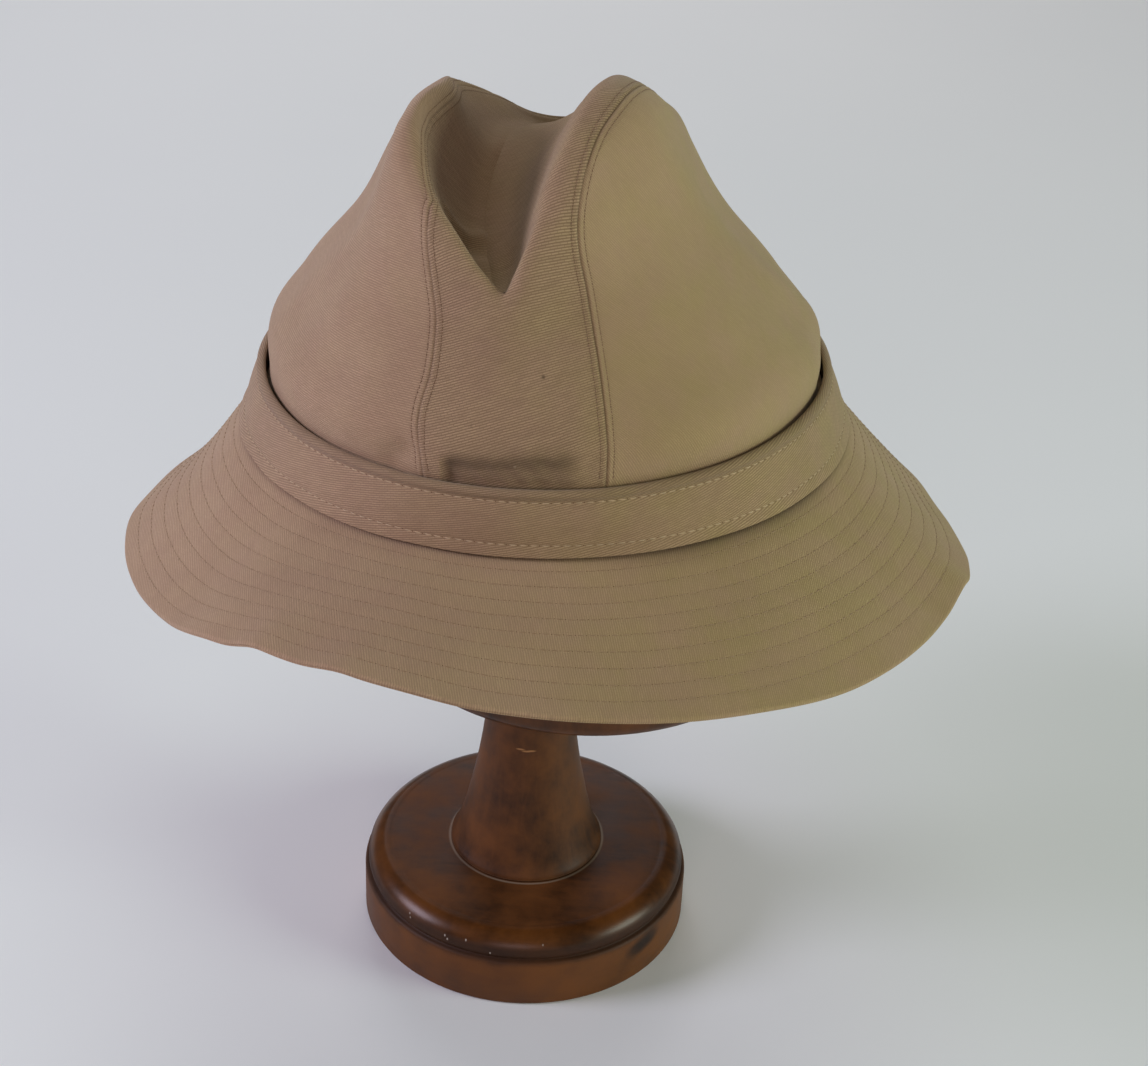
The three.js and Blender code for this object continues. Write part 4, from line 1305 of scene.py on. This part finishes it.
def spin(name, outline, place, material, node):
    """A turned piece from its outline."""
    angles = np.arange(SPIN_STEPS) * 2 * math.pi / SPIN_STEPS
    radius, z = outline["radius"][1:-1], outline["z"][1:-1]
    rings = np.stack([
        np.outer(radius, np.cos(angles)), np.outer(radius, np.sin(angles)),
        np.repeat(z[:, None], SPIN_STEPS, axis=1)], axis=-1).reshape(-1, 3)
    points = np.concatenate([rings, [[0, 0, outline["z"][0]], [0, 0, outline["z"][-1]]]])
    low, high, last = len(rings), len(rings) + 1, (len(radius) - 1) * SPIN_STEPS
    faces = []
    for m in range(SPIN_STEPS):
        n = (m + 1) % SPIN_STEPS
        faces.append((low, n, m))
        faces.append((high, last + m, last + n))
        for k in range(0, last, SPIN_STEPS):
            faces.append((k + m, k + n, k + SPIN_STEPS + n, k + SPIN_STEPS + m))
    return make_piece(name, points + place, faces, material, node, crisp=50)


spin("stand_base_wood", BASE_OUTLINE, np.zeros(3), flat_beech, "stand_base")
spin("stand_post_wood", POST_OUTLINE, np.zeros(3), upright_beech, "stand_post")
spin("stand_top_wood", BLOCK_OUTLINE, BLOCK_PLACE, upright_beech, "stand_top")

# %% [markdown]
# ## Floor, light and camera
# The stand is shown on a plain pale floor. A broad key lamp at the left and a lower fill lamp at the
# right do most of the work: the low one leaves the dent's left wall in shade. Weak lamps in front,
# above and behind open the shadows, and one more lights only the far floor.
# The camera looks down at about thirty degrees with a slight lean, as a hand-held one does.

# %% Stage
FLOOR_HALF = 4.0
FLOOR_MOTTLE_MM = 333


def pale_floor():
    """Matt pale card, neutral with a trace of blue."""
    material, tree, shader = new_material("pale matt card")
    place = add(tree, "TexCoord", "Object")
    uneven = add(tree, "TexNoise", "Fac", {
        "Vector": place, "Scale": 1000 / FLOOR_MOTTLE_MM, "Detail": 3.0})
    tone = layered(tree, "#E7EEF0", [(uneven, "#ECF3F4")])
    fill(tree, shader, {"Base Color": tone, "Roughness": 0.85})
    return material


corners = [(x * FLOOR_HALF, y * FLOOR_HALF, 0) for x, y in ((-1, -1), (1, -1), (1, 1), (-1, 1))]
floor_mesh = bpy.data.meshes.new("floor")
floor_mesh.from_pydata(corners, [], [(0, 1, 2, 3)])
floor_mesh.materials.append(pale_floor())
floor = bpy.data.objects.new("floor", floor_mesh)
bpy.context.scene.collection.objects.link(floor)
print("floor, metres across:", 2 * FLOOR_HALF)

# %% Lamps
HAT_STAND_MIDDLE = (0, 0, 0.2)
LAMPS = [
    {"name": "key lamp", "at": (-1.42, -0.35, 0.9), "size": 0.7, "watts": 15.6, "tint": "#F1E9FF"},
    {"name": "fill lamp", "at": (1.5, -0.35, 0.5), "size": 0.8, "watts": 12.6, "tint": "#F4FFF0"},
    {"name": "back lamp", "at": (-0.1, 1.6, 1.2), "size": 1.0, "watts": 7.2, "tint": "#FFEDED"},
    {"name": "top lamp", "at": (0.1, 0.1, 1.9), "size": 1.2, "watts": 3.4, "tint": "#F3FFE7"},
    {"name": "front lamp", "at": (0.0, -1.7, 0.75), "size": 0.9, "watts": 6, "tint": "#FFDFE2"},
    {"name": "floor lamp", "at": (-0.6, 1.7, 1.3), "size": 0.8, "watts": 4.4, "tint": "#F4F8FF",
     "aim": (-0.6, 1.3, 0.0)},
]
for lamp in LAMPS:
    light = bpy.data.lights.new(lamp["name"], "AREA")
    light.shape = "DISK"
    light.size = lamp["size"]
    light.energy = lamp["watts"]
    light.color = colour(lamp["tint"])[:3]
    holder = bpy.data.objects.new(lamp["name"], light)
    holder.location = lamp["at"]
    aim = Vector(lamp.get("aim", HAT_STAND_MIDDLE))
    holder.rotation_euler = (aim - holder.location).to_track_quat("-Z", "Y").to_euler()
    bpy.context.scene.collection.objects.link(holder)

world = bpy.data.worlds.new("studio")
world.use_nodes = True
sky = world.node_tree.nodes["Background"]
fill(world.node_tree, sky, {"Color": colour("#F0F6F0"), "Strength": 0.08})
bpy.context.scene.world = world
bpy.context.scene.view_settings.view_transform = "Standard"
print("lamps:", ", ".join(lamp["name"] for lamp in LAMPS))

# %% Camera
PIXELS_WIDE = 1148
FOCAL_PIXELS = 2200
SENSOR_MM = 36
CAMERA_PLACE = (0, -0.60169, 0.51843)
TURNED, PITCH, YAW, LEAN = (math.radians(angle) for angle in (5, 31.39, 1.13, 2.63))
forward = np.array([math.sin(YAW) * math.cos(PITCH), math.cos(YAW) * math.cos(PITCH), -math.sin(PITCH)])
level_right = np.array([math.cos(YAW), -math.sin(YAW), 0])
level_up = np.cross(level_right, forward)
right = math.cos(LEAN) * level_right + math.sin(LEAN) * level_up
up = math.cos(LEAN) * level_up - math.sin(LEAN) * level_right
camera_data = bpy.data.cameras.new("camera")
camera_data.sensor_fit = "HORIZONTAL"
camera_data.sensor_width = SENSOR_MM
camera_data.lens = FOCAL_PIXELS / PIXELS_WIDE * SENSOR_MM
camera = bpy.data.objects.new("camera", camera_data)
axes = Matrix((right, up, -forward)).transposed().to_4x4()
camera.matrix_world = Matrix.Rotation(TURNED, 4, "Z") @ Matrix.Translation(CAMERA_PLACE) @ axes
bpy.context.scene.collection.objects.link(camera)
bpy.context.scene.camera = camera
print("lens, mm:", round(camera_data.lens, 1))
